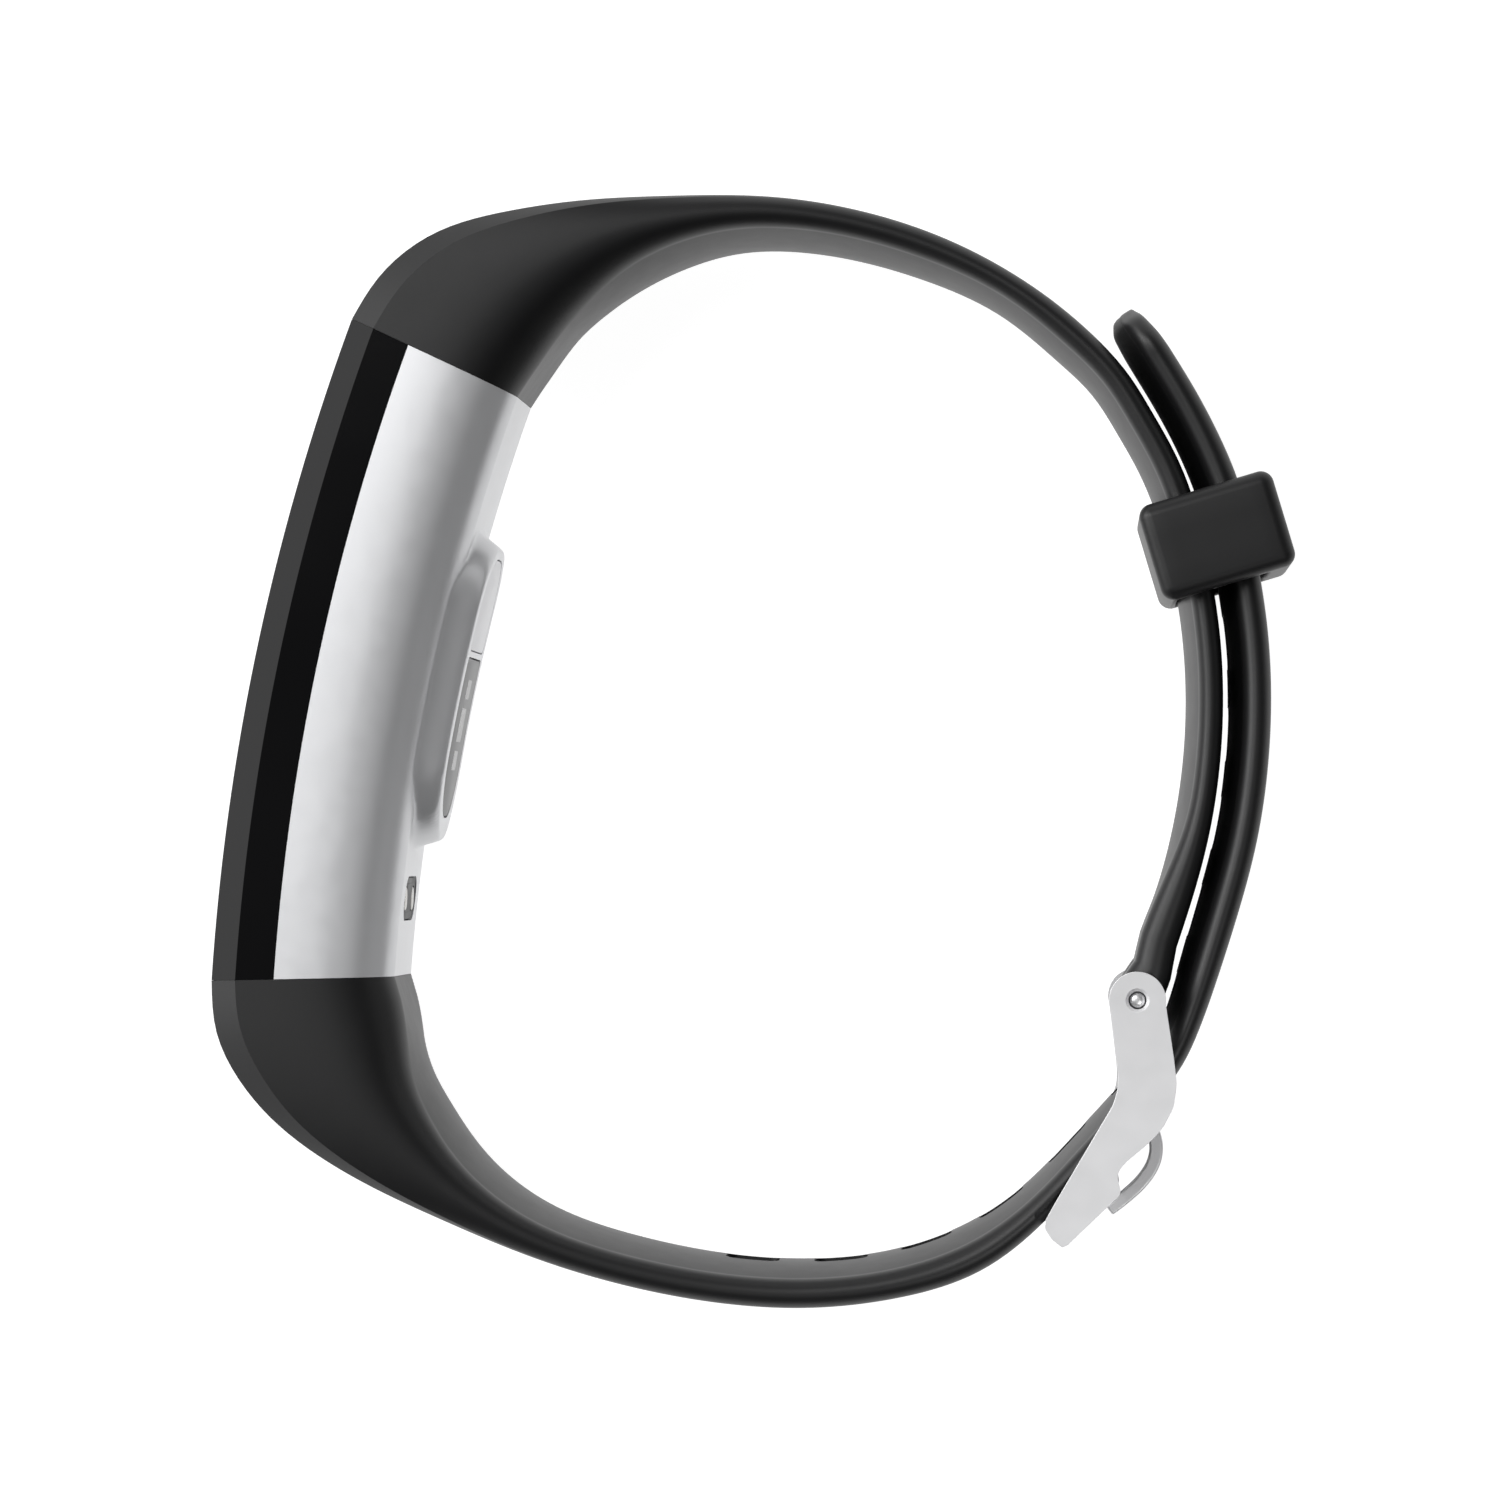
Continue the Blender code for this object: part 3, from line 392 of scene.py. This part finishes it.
def upper_strap(material):
    """Strap that ends in a round eye for the buckle bar, notched for the prong."""
    count, fade = 130, 16   # rings of the route, and over how many of the last the crown fades
    rings = [strap_ring(*row, crown=STRAP_CROWN * smooth_step((count - 1 - k) / fade))
             for k, row in enumerate(curve_through(upper_route(), count))]
    radial = Vector(polar(1, BAR_AT[1])) - Vector(polar(0, BAR_AT[1]))
    along = Vector((radial.y, -radial.x, 0))
    middle = Vector((*EYE, 0))
    ends = [(-2.2, 1.3), (-1.75, 1.37), (-1.3, 1.42), (-0.9, 1.47), (-0.5, 1.49), (0.0, 1.49)]
    ends += [(1.49 * math.sin(a), 1.49 * math.cos(a)) for a in (math.radians(8 * k) for k in range(1, 11))]
    for d, h in ends:
        c = middle + along * d
        outer, inner = c + radial * h, c - radial * h
        rings.append(strap_ring(outer.x, outer.y, inner.x, inner.y, STRAP_HALF, 1.0, crown=0.0))
    obj = loft("strap_upper", rings)
    eye = turned("eye_tool", [(BAR_R + PLAY, -MID - 1), (BAR_R + PLAY, MID + 1)], (*EYE, MID), sides=48)
    turn = Matrix.Rotation(math.radians(BAR_AT[1] - 90), 3, "Z")
    notch = box("notch_tool", (6.1, 6.0, 2.2), Vector((*EYE, MID)) + turn @ Vector((0.95, 0, 0)), turn, 0.0)
    cut(obj, eye)
    cut(obj, notch)
    finish(obj, "band", ["upper_strap"], "silicone_black", material)


def slot_places():
    """Middle and direction of each adjustment slot; the prong stands in the sixth."""
    fine = np.array(curve_through(lower_route(), 800))
    mids = (fine[:, 0:2] + fine[:, 2:4]) / 2
    run = np.r_[0, np.cumsum(np.hypot(*np.diff(mids, axis=0).T))]
    used = run[np.argmin(np.hypot(*(mids - PRONG_CROSSING).T))]
    for k in range(-SLOTS_EACH_WAY, SLOTS_EACH_WAY + 1):
        i = int(np.searchsorted(run, used + SLOT_PITCH * k))
        yield mids[i], mids[i + 3] - mids[i - 3]


def lower_strap(material):
    """Strap with its rounded tail and one joined tool for all the slots."""
    rings = [strap_ring(*row) for row in curve_through(lower_route(), 190)]
    tip = [(30, 42.8, 45.42, 8.0), (31.6, 42.8, 45.32, 7.9), (33.0, 42.87, 45.15, 7.3),
           (33.9, 43.02, 45.0, 6.3), (34.45, 43.28, 44.87, 5.0), (34.7, 43.5, 44.76, 3.6),
           (34.8, 43.7, 44.6, 2.0)]
    rows = [layer(a, (r0, r1), half) for a, r0, r1, half in tip]
    for row in curve_through(rows, 29)[1:]:
        rings.append(strap_ring(*row))
    obj = loft("strap_lower", rings)
    tools = []
    for k, (middle, ahead) in enumerate(slot_places()):
        turn = facing((*ahead, 0), (-ahead[1], ahead[0], 0))
        tools.append(box("slot_tool_%02d" % k, (SLOT[0], SLOT[1], 4.4), (*middle, MID), turn, SLOT[2]))
    for tool in tools[1:]:
        join(tools[0], tool)
    cut(obj, tools[0])
    finish(obj, "band", ["lower_strap"], "silicone_black", material)


# ---------------------------------------------------------------- pod
def front_cover(glass):
    """Bent cover: flat front, crisp chamfers down both sides, hollow at the back."""
    side = [(0.0, 4.0), (0.0, 7.9)] + POD_SIDE[:3] + [(COVER_DEEP, 8.9)]
    ring = side + [(t, -w) for t, w in reversed(side)]
    rings = [[pod(s, t, w) for t, w in ring] for s in np.linspace(POD_HALF, -POD_HALF, 73)]
    obj = loft("glass_cover", rings)
    end, side_room = POD_HALF - COVER_WALL, MID - COVER_WALL
    cut(obj, stack("cover_room_tool", (-end, end, side_room, 1.0, 1.0), [(1.3, -0.5), (1.7, 0), (5.0, 0)]))
    finish(obj, "band", ["front_cover"], "black_glass", glass, sharp=28)


def outline_distance(s, z, shape):
    """Signed distance in (s, z) from a rounded outline, negative inside."""
    low, high, half = shape[:3]
    r = shape[3] if s < (low + high) / 2 else shape[4]
    ds = abs(s - (low + high) / 2) - ((high - low) / 2 - r)
    dz = abs(z) - (half - r)
    return math.hypot(max(ds, 0), max(dz, 0)) + min(max(ds, dz), 0) - r


def rear_case(silver):
    """Bent case with the sensor island raised out of it on a soft fillet."""
    spans = [(-POD_HALF, -13.4, 16), (-13.4, -10.8, 26), (-10.8, -7.2, 20), (-7.2, 5.9, 18),
             (5.9, 9.5, 20), (9.5, 12.1, 26), (12.1, POD_HALF, 18)]
    along = np.concatenate([np.linspace(a, b, n, endpoint=False) for a, b, n in spans] + [[POD_HALF]])
    turn = [CASE_TOP, 4.5, 5.0, 5.6, 6.2]
    side = [(t, side_outline(2 + (t - 4.1) / 2.5)[1]) for t in turn]
    side += [side_outline(3 + 6 * k / 64) for k in range(62)]
    flat = [(POD_DEEP, w) for w in np.arange(side[-1][1] - 0.15, 0.0, -0.3)]
    half_ring = side + flat
    ring = half_ring + [(t, -w) for t, w in reversed(half_ring)]
    rings = []
    for s in along:
        row = []
        for t, w in ring:
            rise = smooth_step((RISE_OUT - outline_distance(s, w, BUMP)) / (RISE_OUT + RISE_IN))
            deep = t if t < 9.0 else t + (BUMP_TOP - t) * rise
            row.append(pod(s, deep, w))
        rings.append(row)
    obj = loft("case_rear", rings)
    room_levels = [(3.0, 0), (9.3, 0), (10.4, -0.5), (10.7, -1.1)]
    tools = [stack("case_room_tool", (-16.6, 16.6, 8.6, 1.6, 1.6), room_levels),
             stack("seal_step_tool", SEAL_ROOM, [(3.5, 0), (4.55, 0)]),
             stack("plate_recess_tool", PLATE, [(12.8, 0.08), (14.0, 0.08)]),
             stack("window_recess_tool", WINDOW, [(12.8, 0.08), (14.0, 0.08)]),
             stack("seat_recess_tool", SEAT, [(11.25, 0.06), (12.5, 0.06)])]
    cut(obj, *tools)
    finish(obj, "band", ["rear_case"], "satin_silver", silver)


def rear_inset(plate_paint, window_glass, lens):
    """Light plate and dark window set into the island; three lens marks belong to the window."""
    levels = [(12.84, 0), (13.15, 0), (13.24, -0.02), (13.285, -0.07), (BUMP_TOP, -0.16)]
    plate = stack("inset_plate", PLATE, levels)
    finish(plate, "band", ["rear_plate"], "light_silver", plate_paint)
    window = stack("inset_window", WINDOW, levels)
    window.data.materials.append(window_glass)
    for k, (s, long, half) in enumerate(((0.0, 1.5, 1.6), (-2.75, 2.6, 1.9), (-5.5, 1.5, 1.6))):
        shape = (s - long / 2, s + long / 2, half, 0.3, 0.3)
        pad = stack("lens_%d" % k, shape, [(13.25, 0), (BUMP_TOP + 0.008, 0), (BUMP_TOP + 0.012, -0.03)])
        pad.data.materials.append(window_glass)
        pad.data.materials.append(lens)
        for face in pad.data.polygons:
            face.material_index = 1
        join(window, pad)
    finish(window, "band", ["optical_window"], "dark_window")


def charging_contacts(plastic, nickel):
    """Oval seat with two flush pins."""
    seat = stack("contact_rest", SEAT, [(11.3, 0), (11.5, 0), (11.58, -0.03), (11.62, -0.1)])
    turn = pod_facing(CONTACT_S)
    tools = [turned("seat_tool_%d" % k, [(0.85, -1), (0.85, 1)], pod(CONTACT_S, 11.5, z), turn)
             for k, z in enumerate((CONTACT_Z, -CONTACT_Z))]
    cut(seat, *tools)
    finish(seat, "band", ["contact_seat"], "black_plastic", plastic)
    for tag, z in (("near", CONTACT_Z), ("far", -CONTACT_Z)):
        profile = [(0.02, 0.03), (0.35, 0.05), (0.55, 0.08), (0.65, 0.08), (0.72, 0.06), (0.78, 0),
                   (0.78, -1.5)]
        pin = turned("contact_pin_" + tag, profile, pod(CONTACT_S, 11.6, z), turn, sides=48)
        finish(pin, "band", ["contact_" + tag], "contact_nickel", nickel)


# ---------------------------------------------------------------- keeper and buckle
def keeper(material):
    """Soft rounded loop; its mouths open with a small radius."""
    r0, r1, half_z = KEEPER_ROOM
    low, high = r0 - KEEPER_WALL[0], r1 + KEEPER_WALL[1]
    centre = (low + high) / 2
    turn = Matrix.Rotation(math.radians(KEEPER_AT + KEEPER_SKEW), 3, "Z")
    middle = Vector(polar(centre, KEEPER_AT)) - turn @ Vector((centre, 0, 0))
    half, soft, mouth = KEEPER_LONG / 2, 0.85, 0.25
    shrink = 0.999 * soft   # just under soft, so that no corner closes to a point
    body = (low, high, MID, soft, soft)
    room = (r0, r1, half_z, 0.7, 0.7)

    def ring(shape, y, grow):
        return [middle + turn @ Vector((x, y, z)) for x, z in rounded(shape, grow, 10, 8)]

    quarter = [math.pi / 2 * k / 8 for k in range(9)]
    rows = [ring(body, -half + soft * (1 - math.sin(a)), -shrink * (1 - math.cos(a)))
            for a in reversed(quarter)]
    rows += [ring(body, y, 0.0) for y in (-1.0, 0.0, 1.0)]
    rows += [ring(body, half - soft * (1 - math.sin(a)), -shrink * (1 - math.cos(a))) for a in quarter]
    rows += [ring(room, half - mouth * (1 - math.cos(a)), mouth * (1 - math.sin(a))) for a in quarter]
    rows += [ring(room, y, 0.0) for y in (1.0, 0.0, -1.0)]
    rows += [ring(room, -half + mouth * (1 - math.cos(a)), mouth * (1 - math.sin(a)))
             for a in reversed(quarter)]
    obj = loft("keeper_loop", rows, closed=True)
    finish(obj, "keeper", ["keeper"], "silicone_black", material, sharp=50)


def frame_outline():
    """Side plate of the buckle, round at the bar and stepped before the crossbar."""
    top = [(EYE[0] + ARM_END_R * math.cos(a), EYE[1] + ARM_END_R * math.sin(a))
           for a in [math.radians(-8 + 6 * k) for k in range(34)]]
    rest = [(22.93, -16.6), (23.2, -18.8), (23.42, -20.7), (23.4, -21.7), (23.1, -22.7), (20.87, -26.45),
            (19.3, -29.1), (18.75, -30.1), (18.7, -30.6), (19.15, -31.3), (19.8, -31.82),
            (20.15, -31.7), (22.0, -29.92), (23.5, -28.5), (23.6, -28.15), (23.4, -27.6),
            (23.4, -27.0), (23.85, -26.4), (25.3, -25.2), (26.3, -24.15), (27.0, -22.8),
            (27.2, -21.3), (27.0, -19.6)]
    corner = rest.index((18.75, -30.1))
    upper, end, lower = rest[:corner + 1], rest[corner:corner + 6], rest[corner + 5:]
    upper, end, lower = (chaikin(split(line, most), 3)
                         for line, most in ((upper, 1.0), (end, 0.35), (lower, 1.0)))
    return top + upper[:-1] + end[:-1] + lower


def split(line, most):
    """Cut long stretches of an open line, so that rounding stays near its corners."""
    out = [line[0]]
    for a, b in zip(line, line[1:]):
        parts = max(1, math.ceil(math.dist(a, b) / most))
        out += [(a[0] + (b[0] - a[0]) * k / parts, a[1] + (b[1] - a[1]) * k / parts)
                for k in range(1, parts + 1)]
    return out


def chaikin(line, rounds):
    """Round an open line by cutting its corners."""
    for _ in range(rounds):
        cutline = [line[0]]
        for a, b in zip(line, line[1:]):
            cutline += [(a[0] * 0.75 + b[0] * 0.25, a[1] * 0.75 + b[1] * 0.25),
                        (a[0] * 0.25 + b[0] * 0.75, a[1] * 0.25 + b[1] * 0.75)]
        line = cutline + [line[-1]]
    return line


def prism(name, outline, z0, z1):
    return loft(name, [[(x, y, z) for x, y in outline] for z in (z0, z1)])


def buckle_frame(steel):
    """Two side arms and a flat crossbar, cut from one bar with a room for the straps."""
    obj = prism("buckle_plate", frame_outline(), 0, WIDTH)
    soften(obj, 0.22, 4)
    inside = [(17.75, -31.85), (22.15, -27.1), (24.4, -29.15), (31.0, -29.0), (31.0, -12.0),
              (15.0, -12.0), (15.0, -31.0)]
    room = prism("buckle_room_tool", inside, ARM_THICK, WIDTH - ARM_THICK)
    eye_r = TIP_R + 0.08
    eye = turned("buckle_eye_tool", [(eye_r, -MID - 1), (eye_r, MID + 1)], (*EYE, MID), sides=48)
    flare = [turned("eye_flare_%d" % k, [(0.42, side * (MID - 0.35)), (0.9, side * (MID + 0.13))],
                    (*EYE, MID), sides=48) for k, side in enumerate((1, -1))]
    cut(obj, room, eye, *flare)
    weld(obj)
    finish(obj, "buckle", ["buckle_frame"], "polished_steel", steel, flat_faces=True)


def buckle_prong(steel):
    """Arched strip along PRONG_LINE with a ring round the bar."""
    line = np.array(curve_through([(x, y, x, y) for x, y in PRONG_LINE], 61))[:, :2]
    way = np.gradient(line, axis=0)
    way /= np.hypot(*way.T)[:, None]
    side = np.c_[-way[:, 1], way[:, 0]]
    outline = [tuple(p) for p in line + side * (PRONG[0] - PRONG_IN)]
    outline += [tuple(p) for p in (line - side * PRONG_IN)[::-1]]
    half = PRONG[1] / 2
    obj = prism("prong_body", outline, MID - half, MID + half)
    soften(obj, 0.16, 3, 40)
    r, h = BAR_R + 0.62, half
    profile = [(r - 0.12, h), (r - 0.04, h - 0.03), (r, h - 0.12), (r, 0.12 - h), (r - 0.04, 0.03 - h),
               (r - 0.12, -h)]
    ring = turned("prong_ring_tool", profile, (*EYE, MID), sides=48)
    cut(obj, ring, kind="UNION")
    cut(obj, turned("prong_eye_tool", [(BAR_R + PLAY, -3), (BAR_R + PLAY, 3)], (*EYE, MID), sides=48))
    finish(obj, "prong", ["buckle_prong"], "polished_steel", steel, flat_faces=True)


def spring_bar(steel):
    """Tube with its two sprung tips; the tips' collars stay inside the mouths."""
    mouth = [(BAR_R - 0.08, MID - 1.75), (BAR_R - 0.02, MID - 1.78), (BAR_R, MID - 1.85)]
    bore = [(0.58, MID - 1.75), (0.58, MID - 2.15), (0.68, MID - 2.25)]
    outside = mouth + [(r, -h) for r, h in reversed(mouth)]
    inside = bore + [(r, -h) for r, h in reversed(bore)]
    tube = turned("spring_bar_tube", outside + inside[::-1], (*EYE, MID), bored=True)
    finish(tube, "band", ["bar_tube"], "polished_steel", steel)
    tip = [(0.02, -0.26), (0.2, -0.27), (0.33, -0.3), (0.44, -0.37), (0.49, -0.45), (TIP_R, -0.55),
           (TIP_R, -2.33), (0.62, -2.34), (0.62, -4.0), (0.02, -4.0)]
    for tag, sign in (("near", 1), ("far", -1)):
        pin = turned("spring_tip_" + tag, [(r, sign * h) for r, h in tip], (*EYE, MID + sign * MID), sides=48)
        finish(pin, "tip_" + tag, ["bar_tip_" + tag], "spring_steel", steel)


# ---------------------------------------------------------------- materials
def shader(name, colour, roughness, metallic=0.0, specular=0.5):
    mat = bpy.data.materials.new(name)
    mat.use_nodes = True
    bsdf = mat.node_tree.nodes["Principled BSDF"]
    bsdf.inputs["Base Color"].default_value = (*colour, 1.0)
    bsdf.inputs["Roughness"].default_value = roughness
    bsdf.inputs["Metallic"].default_value = metallic
    bsdf.inputs["Specular IOR Level"].default_value = specular
    return mat, bsdf


def coordinates(mat, stretch=(1, 1, 1)):
    """Object coordinates in metres, stretched to draw a pattern out along an axis."""
    nodes, links = mat.node_tree.nodes, mat.node_tree.links
    source = nodes.new("ShaderNodeTexCoord")
    mapping = nodes.new("ShaderNodeMapping")
    mapping.inputs["Scale"].default_value = stretch
    links.new(source.outputs["Object"], mapping.inputs["Vector"])
    return mapping.outputs["Vector"]


def noise(mat, scale, detail=4.0, stretch=(1, 1, 1)):
    node = mat.node_tree.nodes.new("ShaderNodeTexNoise")
    node.inputs["Scale"].default_value = scale
    node.inputs["Detail"].default_value = detail
    mat.node_tree.links.new(coordinates(mat, stretch), node.inputs["Vector"])
    return node.outputs["Fac"]


def spread(mat, value, low, high, into):
    """Turn a 0.3 to 0.7 pattern into low to high and feed it to a socket."""
    node = mat.node_tree.nodes.new("ShaderNodeMapRange")
    node.inputs["From Min"].default_value = 0.3
    node.inputs["From Max"].default_value = 0.7
    node.inputs["To Min"].default_value = low
    node.inputs["To Max"].default_value = high
    mat.node_tree.links.new(value, node.inputs["Value"])
    mat.node_tree.links.new(node.outputs["Result"], into)


def tint(mat, value, dark, light, into):
    node = mat.node_tree.nodes.new("ShaderNodeValToRGB")
    node.color_ramp.elements[0].position = 0.3
    node.color_ramp.elements[1].position = 0.7
    node.color_ramp.elements[0].color = (*dark, 1.0)
    node.color_ramp.elements[1].color = (*light, 1.0)
    mat.node_tree.links.new(value, node.inputs["Fac"])
    mat.node_tree.links.new(node.outputs["Color"], into)


def relief(mat, value, height, strength, bsdf):
    node = mat.node_tree.nodes.new("ShaderNodeBump")
    node.inputs["Strength"].default_value = strength
    node.inputs["Distance"].default_value = height * MM
    mat.node_tree.links.new(value, node.inputs["Height"])
    mat.node_tree.links.new(node.outputs["Normal"], bsdf.inputs["Normal"])


def shades(colour, change):
    return tuple(c * (1 - change) for c in colour), tuple(c * (1 + change) for c in colour)


def surface(name, colour, roughness, metallic=0.0, specular=0.5, mottle=(60, 0.08), grain=(3000, 0.006, 0.3),
            rough_spread=0.05, stretch=(1, 1, 1)):
    """A finish with slow colour drift, finer roughness change and a fine relief."""
    mat, bsdf = shader(name, colour, roughness, metallic, specular)
    tint(mat, noise(mat, mottle[0]), *shades(colour, mottle[1]), bsdf.inputs["Base Color"])
    spread(mat, noise(mat, grain[0] / 6, 3, stretch), roughness - rough_spread, roughness + rough_spread,
           bsdf.inputs["Roughness"])
    relief(mat, noise(mat, grain[0], 2, stretch), grain[1], grain[2], bsdf)
    return mat


MATERIALS = {
    "silicone": surface("silicone", (0.0045, 0.0045, 0.005), 0.46, specular=0.45, mottle=(90, 0.05),
                        grain=(4200, 0.010, 0.2), rough_spread=0.012),
    "glass": surface("black_glass_finish", (0.0022, 0.0022, 0.0026), 0.09, specular=0.42, mottle=(40, 0.1),
                     grain=(300, 0.001, 0.05), rough_spread=0.03),
    "silver": surface("satin_silver_finish", (0.76, 0.765, 0.78), 0.38, metallic=0.5, mottle=(50, 0.015),
                      grain=(5200, 0.004, 0.2), rough_spread=0.03),
    "plate": surface("light_silver_finish", (0.80, 0.80, 0.82), 0.38, metallic=0.2, mottle=(80, 0.015),
                     grain=(5200, 0.003, 0.2), rough_spread=0.03),
    "window": surface("dark_window_finish", (0.05, 0.05, 0.053), 0.32, specular=0.15, mottle=(120, 0.05),
                      grain=(500, 0.001, 0.05), rough_spread=0.03),
    "lens": surface("lens_finish", (0.30, 0.30, 0.30), 0.3, mottle=(700, 0.15), grain=(900, 0.002, 0.1)),
    "plastic": surface("black_plastic_finish", (0.02, 0.02, 0.021), 0.5, grain=(3000, 0.01, 0.3)),
    "nickel": surface("nickel_finish", (0.50, 0.49, 0.47), 0.30, metallic=1.0, grain=(4000, 0.002, 0.2)),
    "steel": surface("brushed_steel_finish", (0.75, 0.75, 0.76), 0.42, metallic=0.6, mottle=(60, 0.015),
                     grain=(3600, 0.0012, 0.1), rough_spread=0.02),
    "spring": surface("spring_steel_finish", (0.80, 0.80, 0.81), 0.3, metallic=0.8, grain=(3000, 0.003, 0.2)),
    "nylon": surface("lug_nylon_finish", (0.06, 0.06, 0.065), 0.5, grain=(2500, 0.01, 0.3)),
    "rubber": surface("seal_rubber_finish", (0.03, 0.03, 0.03), 0.6, grain=(2500, 0.01, 0.3)),
    "panel": surface("panel_finish", (0.02, 0.02, 0.035), 0.15, grain=(300, 0.001, 0.05), rough_spread=0.03),
    "amber": surface("ribbon_finish", (0.55, 0.30, 0.06), 0.35, grain=(1500, 0.004, 0.3), stretch=(1, 1, 12)),
    "white": surface("frame_finish", (0.72, 0.72, 0.70), 0.5, grain=(2500, 0.01, 0.3)),
    "board": surface("board_finish", (0.02, 0.15, 0.06), 0.4, mottle=(500, 0.25), grain=(900, 0.01, 0.3)),
    "chip": surface("chip_finish", (0.03, 0.03, 0.03), 0.55, grain=(5000, 0.01, 0.4)),
    "tin": surface("shield_finish", (0.66, 0.66, 0.64), 0.32, metallic=1.0, grain=(2500, 0.004, 0.3)),
    "foil": surface("foil_finish", (0.62, 0.63, 0.65), 0.35, metallic=0.9, mottle=(200, 0.06),
                    grain=(400, 0.03, 0.4)),
    "motor": surface("motor_finish", (0.6, 0.6, 0.6), 0.3, metallic=1.0, grain=(2500, 0.004, 0.3)),
    "tungsten": surface("tungsten_finish", (0.28, 0.28, 0.30), 0.45, metallic=1.0, grain=(5000, 0.01, 0.4)),
    "lamp": surface("lamp_finish", (0.6, 0.75, 0.4), 0.2, grain=(800, 0.004, 0.2)),
    "diode": surface("diode_finish", (0.05, 0.03, 0.05), 0.15, grain=(800, 0.002, 0.2)),
}
CAD_FINISH = {
    "cover_seal": "rubber", "display_panel": "panel", "display_ribbon": "amber", "inner_frame": "white",
    "main_board": "board", "processor_chip": "chip", "radio_shield": "tin", "motion_chip": "chip",
    "battery": "foil", "motor_can": "motor", "motor_cap": "motor", "motor_weight": "tungsten",
    "sensor_board": "board", "led_upper": "lamp", "led_lower": "lamp", "photodiode": "diode",
    "light_barrier": "plastic", "upper_lug": "nylon", "lower_lug": "nylon", "upper_lug_bar": "spring",
    "lower_lug_bar": "spring", "bar_spring": "spring"}


def finish_cad_nodes():
    for node, look in CAD_FINISH.items():
        mesh = frame["nodes"][node].data
        mesh.materials.clear()
        mesh.materials.append(MATERIALS[look])


# ---------------------------------------------------------------- stage
def camera():
    data = bpy.data.cameras.new("camera")
    data.sensor_width = 36
    data.lens = 197.2
    data.clip_start = 0.01
    obj = bpy.data.objects.new("camera", data)
    obj.location = (0.0211423, -0.0070506, 0.5488755)
    obj.rotation_euler = (0.0134, 0.0401, -0.0004)
    bpy.context.scene.collection.objects.link(obj)
    bpy.context.scene.camera = obj


def floor():
    bm = bmesh.new()
    bmesh.ops.create_grid(bm, x_segments=1, y_segments=1, size=2.0)
    mesh = bpy.data.meshes.new("floor")
    bm.to_mesh(mesh)
    bm.free()
    obj = bpy.data.objects.new("floor", mesh)
    bpy.context.scene.collection.objects.link(obj)
    mat, bsdf = shader("floor_white", (0.3, 0.3, 0.3), 0.9, specular=0.0)
    bsdf.inputs["Emission Color"].default_value = (1, 1, 1, 1)
    bsdf.inputs["Emission Strength"].default_value = 0.97
    mesh.materials.append(mat)


def area_light(name, at, aim, size, power, spread=180):
    data = bpy.data.lights.new(name, "AREA")
    data.shape = "RECTANGLE"
    data.size, data.size_y = size
    data.energy = power
    data.spread = math.radians(spread)
    obj = bpy.data.objects.new(name, data)
    obj.location = at
    obj.rotation_euler = (Vector(aim) - Vector(at)).to_track_quat("-Z", "Y").to_euler()
    bpy.context.scene.collection.objects.link(obj)


def world():
    """White low on the left, darker overhead and to the right, so that flat tops stay deep."""
    data = bpy.data.worlds.new("studio")
    bpy.context.scene.world = data
    data.use_nodes = True
    nodes, links = data.node_tree.nodes, data.node_tree.links
    source = nodes.new("ShaderNodeTexCoord")
    parts = nodes.new("ShaderNodeSeparateXYZ")
    ramp = nodes.new("ShaderNodeValToRGB")
    stops = ramp.color_ramp.elements
    stops[0].position, stops[0].color = 0.3, (1.2, 1.2, 1.2, 1)
    stops[1].position, stops[1].color = 0.5, (0.12, 0.12, 0.12, 1)
    links.new(source.outputs["Generated"], parts.inputs["Vector"])
    links.new(parts.outputs["Z"], ramp.inputs["Fac"])
    aim = nodes.new("ShaderNodeVectorMath")
    aim.operation = "DOT_PRODUCT"
    aim.inputs[1].default_value = (-0.6, 0.8, 0)
    links.new(source.outputs["Generated"], aim.inputs[0])
    side = nodes.new("ShaderNodeMapRange")
    side.inputs["From Min"].default_value = -0.8
    side.inputs["From Max"].default_value = 0.3
    side.inputs["To Min"].default_value = 0.11
    links.new(aim.outputs["Value"], side.inputs["Value"])
    links.new(ramp.outputs["Color"], nodes["Background"].inputs["Color"])
    links.new(side.outputs["Result"], nodes["Background"].inputs["Strength"])


def stage():
    camera()
    floor()
    world()
    area_light("key_high", (-0.165, 0.14, 0.43), (0, 0, 0.01), (0.2, 0.2), 0.95)
    area_light("key_left", (-0.40, 0.10, 0.27), (0, 0, 0.01), (0.3, 0.17), 1.4)
    area_light("buckle_fill", (0.15, -0.16, 0.40), (0.0245, -0.029, 0.014), (0.02, 0.02), 0.0025,
               spread=14)
    bpy.context.scene.view_settings.view_transform = "Standard"


# ---------------------------------------------------------------- the whole band
def build():
    m = MATERIALS
    stage()
    front_cover(m["glass"])
    rear_case(m["silver"])
    rear_inset(m["plate"], m["window"], m["lens"])
    charging_contacts(m["plastic"], m["nickel"])
    upper_strap(m["silicone"])
    lower_strap(m["silicone"])
    keeper(m["silicone"])
    buckle_frame(m["steel"])
    buckle_prong(m["steel"])
    spring_bar(m["spring"])
    finish_cad_nodes()


build()
